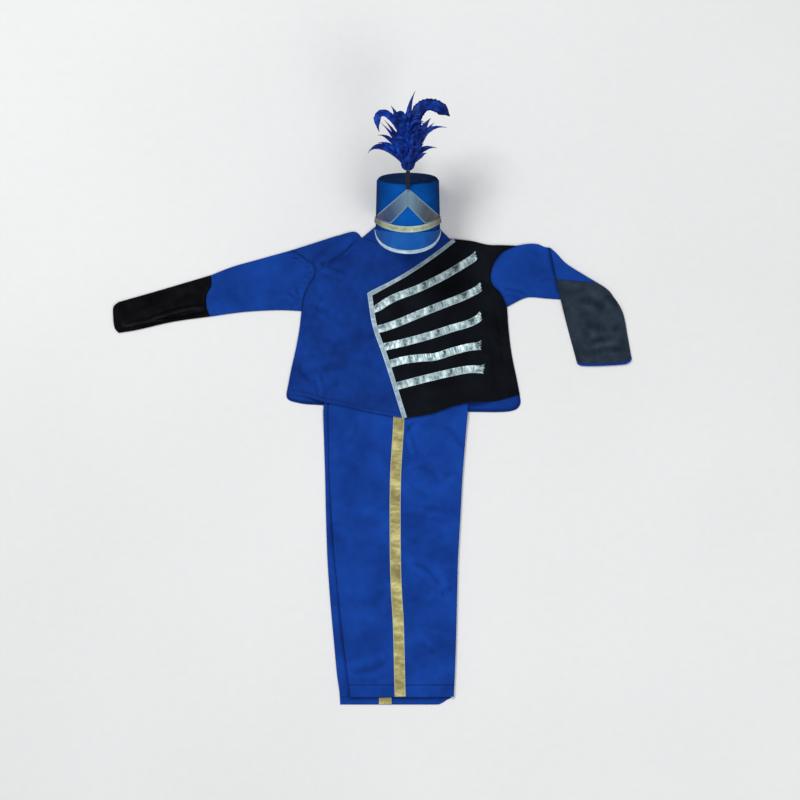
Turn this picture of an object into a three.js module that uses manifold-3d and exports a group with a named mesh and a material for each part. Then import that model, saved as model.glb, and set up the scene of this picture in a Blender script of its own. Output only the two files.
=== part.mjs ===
// A child's marching band uniform laid out flat: jacket, trousers tucked into its hem, and a
// plumed shako lying on its back above the collar. Millimetres, +Z up, +Y towards the plume.
import * as THREE from "three";
import { mergeVertices } from "three/addons/utils/BufferGeometryUtils.js";
import Module from "manifold-3d";

const wasm = await Module();
wasm.setup();

// Driving sizes of the cloth
const CLOTH = 1.2;
const SEAM = 0.3;
const TUBE_HEIGHT = 3.4;
const TUBE_EDGE = 3;
const EDGE_WIDTH = 3;
const BACK_TOP = CLOTH + SEAM;
const UNDER_LEG_TOP = TUBE_HEIGHT + SEAM;
const FRONT_OVER_TROUSERS = 10.4;
const RIBBON = 1;
const MIDDLE_X = -4.5;
const MIDDLE_Y = 15;

// Driving sizes of the shako
const HAT = {
  centreX: 79.7,
  rearY: 382.5,
  sides: 28,
  height: 104.5,
  wall: 2.5,
  baseHalfWidth: 70,
  baseHalfDepth: 89,
  topHalfWidth: 67.5,
  topHalfDepth: 98.5,
  topShift: -9.5,
  topSlant: 0.028,
  dome: 4,
};

const clamp = (t) => Math.min(1, Math.max(0, t));
const smooth = (t) => clamp(t) ** 2 * (3 - 2 * clamp(t));
const mix = (a, b, t) => a + (b - a) * t;

// Colours and finishes, one material for each kind of cloth or trim
const finish = (color, roughness, metalness = 0) => {
  return new THREE.MeshStandardMaterial({ color, roughness, metalness });
};
const MATERIALS = {
  blueCloth: finish(0x163c90, 0.8),
  blackCloth: finish(0x0d0f14, 0.75),
  blackSatin: finish(0x14161c, 0.4),
  silver: finish(0xc3ccd0, 0.35, 0.6),
  gold: finish(0xb09a4a, 0.4, 0.6),
  hatBlue: finish(0x0d4da0, 0.5),
  hatTop: finish(0x0b2350, 0.6),
  darkPlastic: finish(0x101014, 0.5),
  feather: finish(0x0f2c96, 0.7),
};

const uniform = new THREE.Group();
const shako = new THREE.Group();

// Adds one named piece to a group.
function addPiece(group, name, geometry, material) {
  const mesh = new THREE.Mesh(geometry, material);
  mesh.name = name;
  group.add(mesh);
}

// A closed geometry from points and triangles, turned to face outwards.
function closedGeometry(points, triangles) {
  let volume = 0;
  for (const [a, b, c] of triangles) {
    const [p, q, r] = [points[a], points[b], points[c]];
    volume += p[0] * (q[1] * r[2] - q[2] * r[1]);
    volume += p[1] * (q[2] * r[0] - q[0] * r[2]);
    volume += p[2] * (q[0] * r[1] - q[1] * r[0]);
  }
  const facing = volume < 0 ? triangles.map(([a, b, c]) => [a, c, b]) : triangles;
  const geometry = new THREE.BufferGeometry();
  geometry.setAttribute("position", new THREE.Float32BufferAttribute(points.flat(), 3));
  geometry.setIndex(facing.flat());
  return geometry;
}

// Evenly spaced points on a smooth curve through a few [x, y] points.
function curveThrough(points, segments) {
  const through = points.map(([x, y]) => new THREE.Vector3(x, y, 0));
  const curve = new THREE.CatmullRomCurve3(through, false, "centripetal");
  return Array.from({ length: segments + 1 }, (_, k) => {
    const p = curve.getPointAt(k / segments);
    return [p.x, p.y];
  });
}

// Curves end to end, as one line of points with the shared ends kept once.
const joined = (...lines) => lines.reduce((all, line) => [...all, ...line.slice(1)]);

// Where a share t of the way along a line of points lies, counted by its segments.
function onLine(line, t) {
  const at = clamp(t) * (line.length - 1);
  const k = Math.min(line.length - 2, Math.floor(at));
  return line[k].map((value, axis) => mix(value, line[k + 1][axis], at - k));
}

// A grid of [x, y] points filling the patch between four edges: rows[j][i], i from left to right.
function patch({ bottom, top, left, right, columns, rows }) {
  const blend = (u, v, axis) => {
    const across = mix(onLine(bottom, u)[axis], onLine(top, u)[axis], v);
    const along = mix(onLine(left, v)[axis], onLine(right, v)[axis], u);
    const low = mix(bottom[0][axis], bottom.at(-1)[axis], u);
    const high = mix(top[0][axis], top.at(-1)[axis], u);
    return across + along - mix(low, high, v);
  };
  return rows.map((v) => columns.map((u) => [blend(u, v, 0), blend(u, v, 1)]));
}

const steps = (count) => Array.from({ length: count + 1 }, (_, k) => k / count);

// A wall of cloth on a grid: its underside follows under(x, y), and its top lies one thickness above.
function wall(grid, under, thickness = CLOTH) {
  const width = grid[0].length;
  const count = width * grid.length;
  const bottom = grid.flat().map(([x, y]) => [x, y, under(x, y)]);
  const points = [...bottom, ...bottom.map(([x, y, z]) => [x, y, z + thickness])];
  const triangles = [];
  const quad = (a, b, c, d) => triangles.push([a, b, c], [a, c, d]);
  for (let j = 0; j + 1 < grid.length; j++) {
    for (let i = 0; i + 1 < width; i++) {
      const a = j * width + i;
      quad(a, a + width, a + width + 1, a + 1);
      quad(a + count, a + 1 + count, a + width + 1 + count, a + width + count);
    }
  }
  const rim = [];
  for (let i = 0; i + 1 < width; i++) rim.push(i);
  for (let j = 0; j + 1 < grid.length; j++) rim.push(j * width + width - 1);
  for (let i = width - 1; i > 0; i--) rim.push(count - width + i);
  for (let j = grid.length - 1; j > 0; j--) rim.push(j * width);
  rim.forEach((a, k) => {
    const b = rim[(k + 1) % rim.length];
    quad(a, b, b + count, a + count);
  });
  return closedGeometry(points, triangles);
}

// A closed skin of rings joined one after another, with an outer and an inner ring at each station.
function ringTube(outer, inner) {
  const around = outer[0].length;
  const shell = outer.length * around;
  const points = [...outer.flat(), ...inner.flat()];
  const triangles = [];
  const quad = (a, b, c, d) => triangles.push([a, b, c], [a, c, d]);
  for (let k = 0; k < around; k++) {
    const next = (k + 1) % around;
    for (let j = 0; j + 1 < outer.length; j++) {
      const [a, b] = [j * around + k, j * around + next];
      quad(a, b, b + around, a + around);
      quad(shell + a, shell + a + around, shell + b + around, shell + b);
    }
    const last = (outer.length - 1) * around;
    quad(k, shell + k, shell + next, next);
    quad(last + k, last + next, shell + last + next, shell + last + k);
  }
  return closedGeometry(points, triangles);
}

// The shares across a flat tube: its two folded edges, a point just inside each, and even steps.
function tubeColumns(width, count) {
  const edge = EDGE_WIDTH / width;
  return [0, edge, ...steps(count).slice(1, -1), 1 - edge, 1];
}

// A tube of cloth pressed flat: the over grid is its upper layer, the under grid its lower one.
function flatTube({ over, under = over, base = () => 0, height = () => TUBE_HEIGHT }) {
  const rings = (inset) =>
    over.map((row, j) => {
      const last = row.length - 1;
      const edgePoint = (i, beside) => {
        const [x, y] = row[i];
        const [bx, by] = row[beside];
        const share = inset / Math.hypot(bx - x, by - y);
        return [mix(x, bx, share), mix(y, by, share), base(x, y) + TUBE_EDGE / 2];
      };
      const upper = row.slice(1, last).map(([x, y], k) => {
        const tall = k === 0 || k === last - 2 ? TUBE_EDGE : height(x, y);
        return [x, y, base(x, y) + tall - inset];
      });
      const lower = under[j].slice(1, last).map(([x, y]) => [x, y, base(x, y) + inset]);
      return [edgePoint(0, 1), ...upper, edgePoint(last, last - 1), ...lower.reverse()];
    });
  return ringTube(rings(0), rings(CLOTH));
}

// Raised folds of the cloth: a soft ridge from one point to another, with its half width and rise.
const fold = (x1, y1, x2, y2, half, rise) => ({ x1, y1, x2, y2, half, rise });
const FRONT_FOLDS = [
  fold(-40, 352, -112, 296, 15, 4.5),
  fold(-112, 282, -60, 262, 12, 2.6),
  fold(-118, 205, -62, 172, 17, 3),
  fold(-150, 128, -20, 142, 26, 3.4),
  fold(-160, 66, -10, 92, 22, 3.8),
  fold(-118, 46, -108, -2, 11, 2.4),
  fold(20, 300, 120, 330, 18, 1.6),
  fold(96, 8, 262, 24, 24, 3),
  fold(262, 190, 280, 60, 16, 3),
];
const LEG_FOLDS = [
  fold(70, -60, 92, -130, 11, 2.2),
  fold(88, -168, 134, -214, 13, 2.4),
  fold(134, -214, 186, -176, 13, 2.2),
  fold(66, -246, 168, -262, 15, 1.8),
  fold(72, -352, 172, -428, 20, 2.8),
  fold(-60, -330, 34, -352, 22, 2),
  fold(-46, -592, 34, -566, 20, 2.6),
  fold(96, -520, 170, -566, 18, 2),
];

// How high a table of folds lifts the cloth at a place.
function foldRise(folds, x, y) {
  return folds.reduce((sum, { x1, y1, x2, y2, half, rise }) => {
    const [dx, dy] = [x2 - x1, y2 - y1];
    const along = clamp(((x - x1) * dx + (y - y1) * dy) / (dx * dx + dy * dy));
    const away = Math.hypot(x - mix(x1, x2, along), y - mix(y1, y2, along));
    const ends = smooth(Math.min(along, 1 - along) * 4 + 0.35);
    return sum + rise * ends * (1 - smooth(away / half));
  }, 0);
}

// Lines of the jacket, each from short tables of [x, y]
const SIDE_STEPS = 8;
const ARMHOLE_STEPS = 8;
const SHOULDER_STEPS = 5;
const NECK_STEPS = 6;
const rightSide = curveThrough([[-187, 7], [-177, 59], [-166, 108], [-159, 147], [-154, 189]], SIDE_STEPS);
const rightArmhole = curveThrough(
  [[-154, 189], [-150, 218], [-139, 244], [-125, 268], [-127, 288], [-149, 306], [-175, 323]],
  ARMHOLE_STEPS,
);
const rightShoulder = curveThrough(
  [[-175, 323], [-109, 344], [-74, 355], [-34, 363], [-21, 350]],
  SHOULDER_STEPS,
);
const frontNeck = curveThrough(
  [[-21, 350], [20, 334], [50, 324], [80, 321], [112, 324], [148, 338], [173, 347]],
  NECK_STEPS,
);
const backNeck = curveThrough([[-21, 350], [30, 345], [79, 343], [130, 345], [173, 347]], NECK_STEPS);
const leftShoulder = curveThrough(
  [[184, 347], [221, 343], [256, 335], [290, 334], [318, 333]],
  SHOULDER_STEPS,
);
const leftArmhole = curveThrough(
  [[298, 198], [283, 229], [265, 248], [261, 266], [270, 295], [289, 319], [318, 333]],
  ARMHOLE_STEPS,
);
const leftSide = curveThrough([[326, 5], [320, 37], [309, 90], [302, 143], [298, 198]], SIDE_STEPS);
const openingLow = curveThrough([[73, -47], [32, 85], [7, 158], [-4, 226]], SIDE_STEPS);
const openingHigh = curveThrough([[-4, 226], [72, 267], [138, 311], [184, 347]], ARMHOLE_STEPS);
const rightHem = curveThrough([[-187, 7], [-140, 0], [-104, -11], [-59, -20], [-19, -30], [73, -47]], 10);
const leftHem = curveThrough([[73, -47], [132, -37], [177, -21], [219, -12], [272, -9], [326, 5]], 10);
const backHem = curveThrough(
  [[-187, 7], [-186, -4], [-157, -14], [-109, -18], [80, -28], [219, -33], [317, -28], [328, -14], [326, 5]],
  14,
);

// How much of the front lies on the tucked-in trousers: all over them, easing off around them.
const TUCKED_IN = { right: -110, left: 216, top: 66, ease: 62 };
function overTrousers(x, y) {
  const aside = Math.max(TUCKED_IN.right - x, x - TUCKED_IN.left, 0);
  const above = Math.max(y - TUCKED_IN.top, 0);
  return 1 - smooth(Math.hypot(aside, above) / TUCKED_IN.ease);
}

// The underside of the two front panels: on the back panel at the sides, lofted in the middle.
// The loft rises inwards from the sides and the shoulders, and the folds ease off outside it.
const LOFT = { right: -160, left: 300, shoulder: 335, rise: 2.2, sideEase: 70, shoulderEase: 60 };
const FOLDS_REACH = { side: 20, shoulder: 40, ease: 30 };
function frontUnder(x, y) {
  const fromSide = Math.min(x - LOFT.right, LOFT.left - x);
  const fromShoulder = LOFT.shoulder - y;
  const loft = LOFT.rise * smooth(fromSide / LOFT.sideEase) * smooth(fromShoulder / LOFT.shoulderEase);
  const reach = Math.min(fromSide + FOLDS_REACH.side, fromShoulder + FOLDS_REACH.shoulder);
  const inside = smooth(reach / FOLDS_REACH.ease);
  const lifted = mix(BACK_TOP, FRONT_OVER_TROUSERS, overTrousers(x, y));
  return lifted + loft + foldRise(FRONT_FOLDS, x, y) * inside;
}

// Moves a line of points sideways by a small distance, to its left as it runs.
function beside(line, distance) {
  return line.map(([x, y], k) => {
    const [ax, ay] = line[Math.max(0, k - 1)];
    const [bx, by] = line[Math.min(line.length - 1, k + 1)];
    const length = Math.hypot(bx - ax, by - ay);
    return [x - ((by - ay) / length) * distance, y + ((bx - ax) / length) * distance];
  });
}

// The back panel, flat on the ground
function backPanel() {
  const outline = joined(
    backHem,
    leftSide,
    leftArmhole,
    [...leftShoulder].reverse(),
    [[184, 347], [173, 347]],
    [...backNeck].reverse(),
    [...rightShoulder].reverse(),
    [...rightArmhole].reverse(),
    [...rightSide].reverse(),
  );
  const shape = new THREE.Shape(outline.slice(0, -1).map(([x, y]) => new THREE.Vector2(x, y)));
  const geometry = new THREE.ExtrudeGeometry(shape, { depth: CLOTH, bevelEnabled: false });
  geometry.deleteAttribute("normal");
  geometry.deleteAttribute("uv");
  return mergeVertices(geometry);
}

// The blue right front and the black left front meet on the slanting front edge.
const openingLine = joined(openingLow, openingHigh);
const rightFrontGrid = patch({
  bottom: rightHem.map((p, k) => (k === rightHem.length - 1 ? beside(openingLine, SEAM / 2)[0] : p)),
  top: joined(rightShoulder, frontNeck, [[173, 347], beside(openingLine, SEAM / 2).at(-1)]),
  left: joined(rightSide, rightArmhole),
  right: beside(openingLine, SEAM / 2),
  columns: steps(SHOULDER_STEPS + NECK_STEPS + 1),
  rows: steps(SIDE_STEPS + ARMHOLE_STEPS),
});
const leftFrontGrid = patch({
  bottom: leftHem.map((p, k) => (k === 0 ? beside(openingLine, -SEAM / 2)[0] : p)),
  top: leftShoulder.map((p, k) => (k === 0 ? beside(openingLine, -SEAM / 2).at(-1) : p)),
  left: beside(openingLine, -SEAM / 2),
  right: joined(leftSide, leftArmhole),
  columns: steps(10),
  rows: steps(SIDE_STEPS + ARMHOLE_STEPS),
});

// The height of a panel's own faceted top at a place, or nothing where the panel isn't.
function panelHeight(grids, under, thickness) {
  const faces = grids.flatMap((grid) =>
    grid.slice(1).flatMap((row, j) =>
      row.slice(1).flatMap((corner, i) => {
        const [a, b, c, d] = [grid[j][i], grid[j][i + 1], corner, row[i]];
        return [[a, d, c], [a, c, b]];
      }),
    ),
  );
  const lifted = faces.map((face) => face.map(([x, y]) => [x, y, under(x, y) + thickness]));
  return (x, y) => {
    let best = -Infinity;
    for (const [a, b, c] of lifted) {
      const area = (b[0] - a[0]) * (c[1] - a[1]) - (c[0] - a[0]) * (b[1] - a[1]);
      const s = ((x - a[0]) * (c[1] - a[1]) - (c[0] - a[0]) * (y - a[1])) / area;
      const t = ((b[0] - a[0]) * (y - a[1]) - (x - a[0]) * (b[1] - a[1])) / area;
      if (s < 0 || t < 0 || s + t > 1) continue;
      best = Math.max(best, a[2] + s * (b[2] - a[2]) + t * (c[2] - a[2]));
    }
    return best;
  };
}

// The underside of a trim: the highest point of the panel near it, and a seam's gap more.
function trimUnder(height, reach = 5) {
  return (x, y) => {
    const around = steps(8).map((t) => {
      const turn = t * 2 * Math.PI;
      return height(x + reach * Math.cos(turn), y + reach * Math.sin(turn));
    });
    return Math.max(height(x, y), ...around) + SEAM;
  };
}

// A flat ribbon along a line of points, with its half width to each side.
function ribbonGrid(line, half) {
  return beside(line, half).map((p, k) => [p, line[k], beside(line, -half)[k]]);
}

const frontHeight = panelHeight([rightFrontGrid, leftFrontGrid], frontUnder, CLOTH);
const onFront = trimUnder(frontHeight);

function jacketBody() {
  addPiece(uniform, "jacket_back", backPanel(), MATERIALS.blueCloth);
  addPiece(uniform, "jacket_front_right", wall(rightFrontGrid, frontUnder), MATERIALS.blueCloth);
  addPiece(uniform, "jacket_front_left", wall(leftFrontGrid, frontUnder), MATERIALS.blackCloth);
}

// The silver trim on the front edge, in a low and a high run that meet in a mitre at the corner
const TRIM_HALF = 5;
function frontTrim() {
  const low = ribbonGrid(curveThrough([[73, -46], [32, 85], [7, 158], [-4, 226]], 20), TRIM_HALF);
  const high = ribbonGrid(curveThrough([[-4, 226], [72, 267], [138, 311], [182, 345]], 18), TRIM_HALF);
  const mitre = [[-9.6, 227.5], [-4, 226], [1.8, 223.4]];
  low[low.length - 1] = mitre;
  high[0] = mitre;
  return wall([...low, ...high.slice(1)], onFront, RIBBON);
}

// The five silver braids on the black front, each by the points of its middle line
const BRAID_HALF = 8.2;
const trimSide = beside(curveThrough([[73, -46], [32, 85], [7, 158], [-4, 226]], 20), -TRIM_HALF - 0.4);

// Where the inner side of the front trim lies at a height, for the braid ends that meet it.
function besideTrim(y) {
  const k = trimSide.findIndex(([, sideY]) => sideY >= y);
  const [[ax, ay], [bx, by]] = [trimSide[k - 1], trimSide[k]];
  return mix(ax, bx, (y - ay) / (by - ay));
}
const BRAIDS = [
  [[8, 192], [45, 215.6], [98, 236.5], [151, 261.8], [190, 284], [230, 309]],
  [[19, 149], [58, 162.8], [111, 184.8], [164, 205.7], [203, 221], [241, 240]],
  [[29, 110], [72, 120], [124, 134], [177, 151], [217, 163], [241, 176]],
  [[42, 73], [72, 81], [111, 86], [138, 88], [177, 100], [217, 110], [241, 112]],
  [[56, 24], [98, 35], [138, 45], [177, 54], [217, 61], [247, 60]],
];
function braids() {
  BRAIDS.forEach((points, k) => {
    const grid = ribbonGrid(curveThrough(points, 18), BRAID_HALF);
    grid[0] = grid[0].map(([, y]) => [besideTrim(y), y]);
    addPiece(uniform, `braid_${k + 1}`, wall(grid, onFront, RIBBON), MATERIALS.silver);
  });
}

// The stand collar, pressed flat above the neck seam
function collar() {
  const columns = [0, 0.025, ...steps(NECK_STEPS).slice(1, -1), 0.975, 1];
  const lift = SEAM * 1.4;
  const raised = (line) => beside(line, lift);
  const backTop = curveThrough([[11, 377], [45, 380.6], [80, 381.9], [115, 380.6], [147, 373]], NECK_STEPS);
  const frontTop = curveThrough(
    [[11, 377], [34, 363], [58, 355], [80, 353], [104, 355], [128, 361], [147, 373]],
    NECK_STEPS,
  );
  const leftEdge = (foot, top) => curveThrough([foot, top], 3);
  const layer = (seam, top) =>
    patch({
      bottom: seam,
      top,
      left: leftEdge(seam[0], top[0]),
      right: leftEdge(seam.at(-1), top.at(-1)),
      columns,
      rows: steps(3),
    });
  const front = raised(frontNeck);
  const back = raised(backNeck);
  back[0] = front[0];
  back[back.length - 1] = front.at(-1);
  return flatTube({ over: layer(front, frontTop), under: layer(back, backTop), height: () => 4 });
}

// The right sleeve lies out straight, with its black gauntlet beyond a curved seam.
const SLEEVE_COLUMNS = tubeColumns(110, ARMHOLE_STEPS);
const SLEEVE_GAP = 0.6;
const CUFF_BAND = 6.5;
function rightSleeve() {
  const armhole = rightArmhole.map(([x, y]) => [x - SLEEVE_GAP, y]).reverse();
  const seam = curveThrough([[-353, 268], [-353, 243], [-362, 226], [-363, 200], [-355, 177]], ARMHOLE_STEPS);
  const cuff = curveThrough([[-556, 209], [-567, 199], [-568, 175], [-564, 150], [-556, 141]], ARMHOLE_STEPS);
  const upper = patch({
    bottom: armhole,
    top: seam,
    left: curveThrough([armhole[0], [-254, 301], [-307, 286], seam[0]], 8),
    right: curveThrough([armhole.at(-1), [-201, 191], [-281, 187], seam.at(-1)], 8),
    columns: SLEEVE_COLUMNS,
    rows: steps(8),
  });
  const start = seam.map(([x, y]) => [x - SEAM, y]);
  const lower = patch({
    bottom: start,
    top: cuff,
    left: curveThrough([start[0], [-465, 235], cuff[0]], 7),
    right: curveThrough([start.at(-1), [-439, 165], [-518, 147], cuff.at(-1)], 7),
    columns: SLEEVE_COLUMNS,
    rows: steps(7),
  });
  const creases = [fold(-365, 194, -480, 172, 9, 2.4), fold(-200, 212, -300, 222, 20, 1.6)];
  const height = (x, y) => TUBE_HEIGHT + foldRise(creases, x, y);
  addPiece(uniform, "sleeve_right", flatTube({ over: upper, height }), MATERIALS.blueCloth);
  addPiece(uniform, "gauntlet_right", flatTube({ over: lower, height }), MATERIALS.blackSatin);
}

// The left sleeve is folded over itself on a slanting line. It is made straight and then folded.
const FOLD_ANGLE = (-37.5 * Math.PI) / 180;
const FOLD = {
  x: 392.7,
  y: 329,
  outX: -Math.sin(FOLD_ANGLE),
  outY: Math.cos(FOLD_ANGLE),
  centre: TUBE_HEIGHT + 0.4,
  neutral: 2.1,
};
const SETTLE = { from: 208, over: 60, drop: TUBE_HEIGHT + 0.8 };

// The folded sleeve lies a little nearer the body, and its folded edge sags in above the elbow.
const PULL_IN = { from: 340, over: 50, by: 7 };
const SAG = { middleY: 296, halfLength: 45, from: 395, over: 55, by: 10 };
function pulledIn(x, y) {
  const along = (y - SAG.middleY) / SAG.halfLength;
  const sag = Math.abs(along) < 1 ? Math.cos((along * Math.PI) / 2) ** 2 : 0;
  const pulled = PULL_IN.by * smooth((x - PULL_IN.from) / PULL_IN.over);
  const sagged = SAG.by * sag * smooth((x - SAG.from) / SAG.over);
  return x - pulled - sagged;
}
const beyondFold = (x, y) => (x - FOLD.x) * FOLD.outX + (y - FOLD.y) * FOLD.outY;

// Cuts the triangles of a closed geometry where a measure of place passes a value.
function cutAlong(geometry, measure, value) {
  const place = geometry.getAttribute("position");
  const points = Array.from({ length: place.count }, (_, k) => [place.getX(k), place.getY(k), place.getZ(k)]);
  const side = points.map(([x, y]) => measure(x, y) - value);
  const middles = new Map();
  const crossing = (a, b) => {
    const key = `${Math.min(a, b)}_${Math.max(a, b)}`;
    if (!middles.has(key)) {
      const share = side[a] / (side[a] - side[b]);
      middles.set(key, points.push(points[a].map((v, axis) => mix(v, points[b][axis], share))) - 1);
    }
    return middles.get(key);
  };
  const triangles = [];
  const index = geometry.index.array;
  for (let k = 0; k < index.length; k += 3) {
    const corners = [index[k], index[k + 1], index[k + 2]];
    const apart = (c, other) => side[c] * side[other] < 0;
    const lone = corners.findIndex((c, n) => corners.every((other, m) => m === n || apart(c, other)));
    if (lone < 0 || corners.some((c) => side[c] === 0)) {
      triangles.push(corners);
      continue;
    }
    const [a, b, c] = [0, 1, 2].map((n) => corners[(lone + n) % 3]);
    const [ab, ac] = [crossing(a, b), crossing(a, c)];
    triangles.push([a, ab, ac], [ab, b, c], [ab, c, ac]);
  }
  return closedGeometry(points, triangles);
}

// Folds what lies beyond the fold line back over the rest, and lets it settle to the ground.
function foldedOver(geometry) {
  const bend = Math.PI * FOLD.neutral;
  const cuts = steps(4).map((t) => t * bend);
  const made = cuts.reduce((g, value) => cutAlong(g, beyondFold, value), geometry);
  const place = made.getAttribute("position");
  for (let k = 0; k < place.count; k++) {
    const [x, y, z] = [place.getX(k), place.getY(k), place.getZ(k)];
    const beyond = beyondFold(x, y);
    if (beyond <= 0) {
      place.setX(k, pulledIn(x, y));
      continue;
    }
    const turn = Math.min(beyond, bend) / FOLD.neutral;
    const radius = FOLD.centre - z;
    const out = radius * Math.sin(turn) - Math.max(0, beyond - bend) - beyond;
    const [newX, newY] = [x + out * FOLD.outX, y + out * FOLD.outY];
    const settled = SETTLE.drop * smooth((SETTLE.from - newY) / SETTLE.over) * smooth(turn / Math.PI);
    place.setXYZ(k, pulledIn(newX, newY), newY, FOLD.centre - radius * Math.cos(turn) - settled);
  }
  return made;
}

function leftSleeve() {
  const armhole = leftArmhole.map(([x, y]) => [x + SLEEVE_GAP, y]).reverse();
  const seam = curveThrough([[469, 334], [513, 215]], ARMHOLE_STEPS);
  const cuff = curveThrough([[655, 336], [660, 331], [683, 230], [682, 221]], ARMHOLE_STEPS);
  const upper = patch({
    bottom: armhole,
    top: seam,
    left: curveThrough([armhole[0], [345, 337], [372, 336], [393, 329], seam[0]], 8),
    right: curveThrough([armhole.at(-1), [329, 214], [345, 219], [415, 215], seam.at(-1)], 8),
    columns: SLEEVE_COLUMNS,
    rows: steps(6),
  });
  const start = seam.map(([x, y]) => [x + SEAM * 1.3, y]);
  const lower = patch({
    bottom: start,
    top: cuff,
    left: curveThrough([start[0], [560, 336], cuff[0]], 8),
    right: curveThrough([start.at(-1), [540, 214], [590, 210], [630, 213], cuff.at(-1)], 8),
    columns: SLEEVE_COLUMNS,
    rows: steps(6),
  });
  addPiece(uniform, "sleeve_left", foldedOver(flatTube({ over: upper })), MATERIALS.blueCloth);
  addPiece(uniform, "gauntlet_left", foldedOver(flatTube({ over: lower })), MATERIALS.blackSatin);
  const bandRow = (out) => SLEEVE_COLUMNS.map((u) => onLine(cuff, u)).map(([x, y]) => [x + out, y]);
  const band = flatTube({ over: [bandRow(SEAM * 1.3), bandRow(CUFF_BAND)] });
  addPiece(uniform, "cuff_band_left", foldedOver(band), MATERIALS.blueCloth);
}

// The trouser legs, one on the other: a row for each level with its left and right edges
const LEG_TABLE = [
  { y: 40, left: -84, right: 196, underLeft: -92, underRight: 190 },
  { y: -15, left: -96, right: 214, underLeft: -107, underRight: 208 },
  { y: -51, left: -96, right: 210, underLeft: -106, underRight: 204 },
  { y: -112, left: -95, right: 205, underLeft: -104, underRight: 199 },
  { y: -174, left: -94, right: 200, underLeft: -102, underRight: 194 },
  { y: -271, left: -88, right: 195, underLeft: -100, underRight: 189 },
  { y: -359, left: -82, right: 190, underLeft: -97, underRight: 184 },
  { y: -447, left: -73, right: 188, underLeft: -91, underRight: 182 },
  { y: -535, left: -63, right: 186, underLeft: -83, underRight: 180 },
  { y: -623, left: -52, right: 183, underLeft: -75, underRight: 177 },
  { y: -659, left: -48, right: 181, underLeft: -68, underRight: 175 },
];
const UNDER_HEM = -676.5;
const CORNER_CUT = 14;
const LEG_COLUMNS = tubeColumns(280, 12);

// The ground under the trousers: they climb onto the back panel's hem where they are tucked in.
const trouserBase = (x, y) => BACK_TOP * smooth((y + 92) / 50);
const overLegBase = (x, y) => trouserBase(x, y) + UNDER_LEG_TOP;

function legHeight(x, y) {
  const below = smooth((-40 - y) / 30);
  return TUBE_HEIGHT + foldRise(LEG_FOLDS, x, y) * below;
}

function trousers() {
  const rowOf = (y, left, right) => LEG_COLUMNS.map((u) => [mix(left, right, u), y]);
  const over = LEG_TABLE.map(({ y, left, right }) => rowOf(y, left, right));
  const under = LEG_TABLE.map(({ y, underLeft, underRight }) => rowOf(y, underLeft, underRight));
  const longer = under.map((row, j) =>
    row.map(([x, y], i) => {
      if (j < under.length - 1) return [x, y];
      return [x, UNDER_HEM + CORNER_CUT * smooth((LEG_COLUMNS[i] - 0.88) / 0.12)];
    }),
  );
  const leftLeg = flatTube({ over, base: overLegBase, height: legHeight });
  const rightLeg = flatTube({ over: under, under: longer, base: trouserBase });
  addPiece(uniform, "leg_left", leftLeg, MATERIALS.blueCloth);
  addPiece(uniform, "leg_right", rightLeg, MATERIALS.blueCloth);
  const band = [40 + SEAM, 52, 64].map((y) => tubeColumns(270, 8).map((u) => [mix(-86, 192, u), y]));
  const waist = flatTube({ over: band, base: () => BACK_TOP, height: () => 2 * TUBE_HEIGHT });
  addPiece(uniform, "waistband", waist, MATERIALS.blueCloth);
  trouserStripes(over);
}

// The gold ribbon on the outer seam, and the end of the lower leg's ribbon turned up in its hem
const STRIPE_HALF = 12;
const STRIPE_LINE = [
  [62, 36],
  [60, -51],
  [53, -174],
  [52, -300],
  [54, -410],
  [59, -500],
  [62, -623],
  [63, -658],
];
function trouserStripes(over) {
  const top = panelHeight([over], (x, y) => overLegBase(x, y) + legHeight(x, y), 0);
  const grid = ribbonGrid(curveThrough(STRIPE_LINE, 48), STRIPE_HALF);
  addPiece(uniform, "stripe_left", wall(grid, trimUnder(top, 7), RIBBON), MATERIALS.gold);
  const end = steps(2).map((t) => [[16.5, mix(-661.5, -676, t)], [44, mix(-661, -675.2, t)]]);
  addPiece(uniform, "stripe_right_end", wall(end, () => CLOTH + SEAM, RIBBON), MATERIALS.gold);
}

// A point on the shako's outside, in its own frame: x across, y up its crown, z to its front.
function crownPoint(turn, level, inset = 0) {
  const halfWidth = mix(HAT.baseHalfWidth, HAT.topHalfWidth, level) - inset;
  const halfDepth = mix(HAT.baseHalfDepth, HAT.topHalfDepth, level) - inset;
  const shift = HAT.topShift * level;
  return [halfWidth * Math.sin(turn), HAT.height * level, shift + halfDepth * Math.cos(turn)];
}

// How far up the crown its top edge lies: the top slants down a little to the front.
const topLevel = (turn) => 1 - HAT.topSlant * Math.cos(turn);

const crownTurns = Array.from({ length: HAT.sides }, (_, k) => ((k + 0.5) * 2 * Math.PI) / HAT.sides);

function crownWall() {
  const rings = (inset) =>
    [0, 0.5, 1].map((share) => crownTurns.map((turn) => crownPoint(turn, share * topLevel(turn), inset)));
  return ringTube(rings(0), rings(HAT.wall));
}

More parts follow.
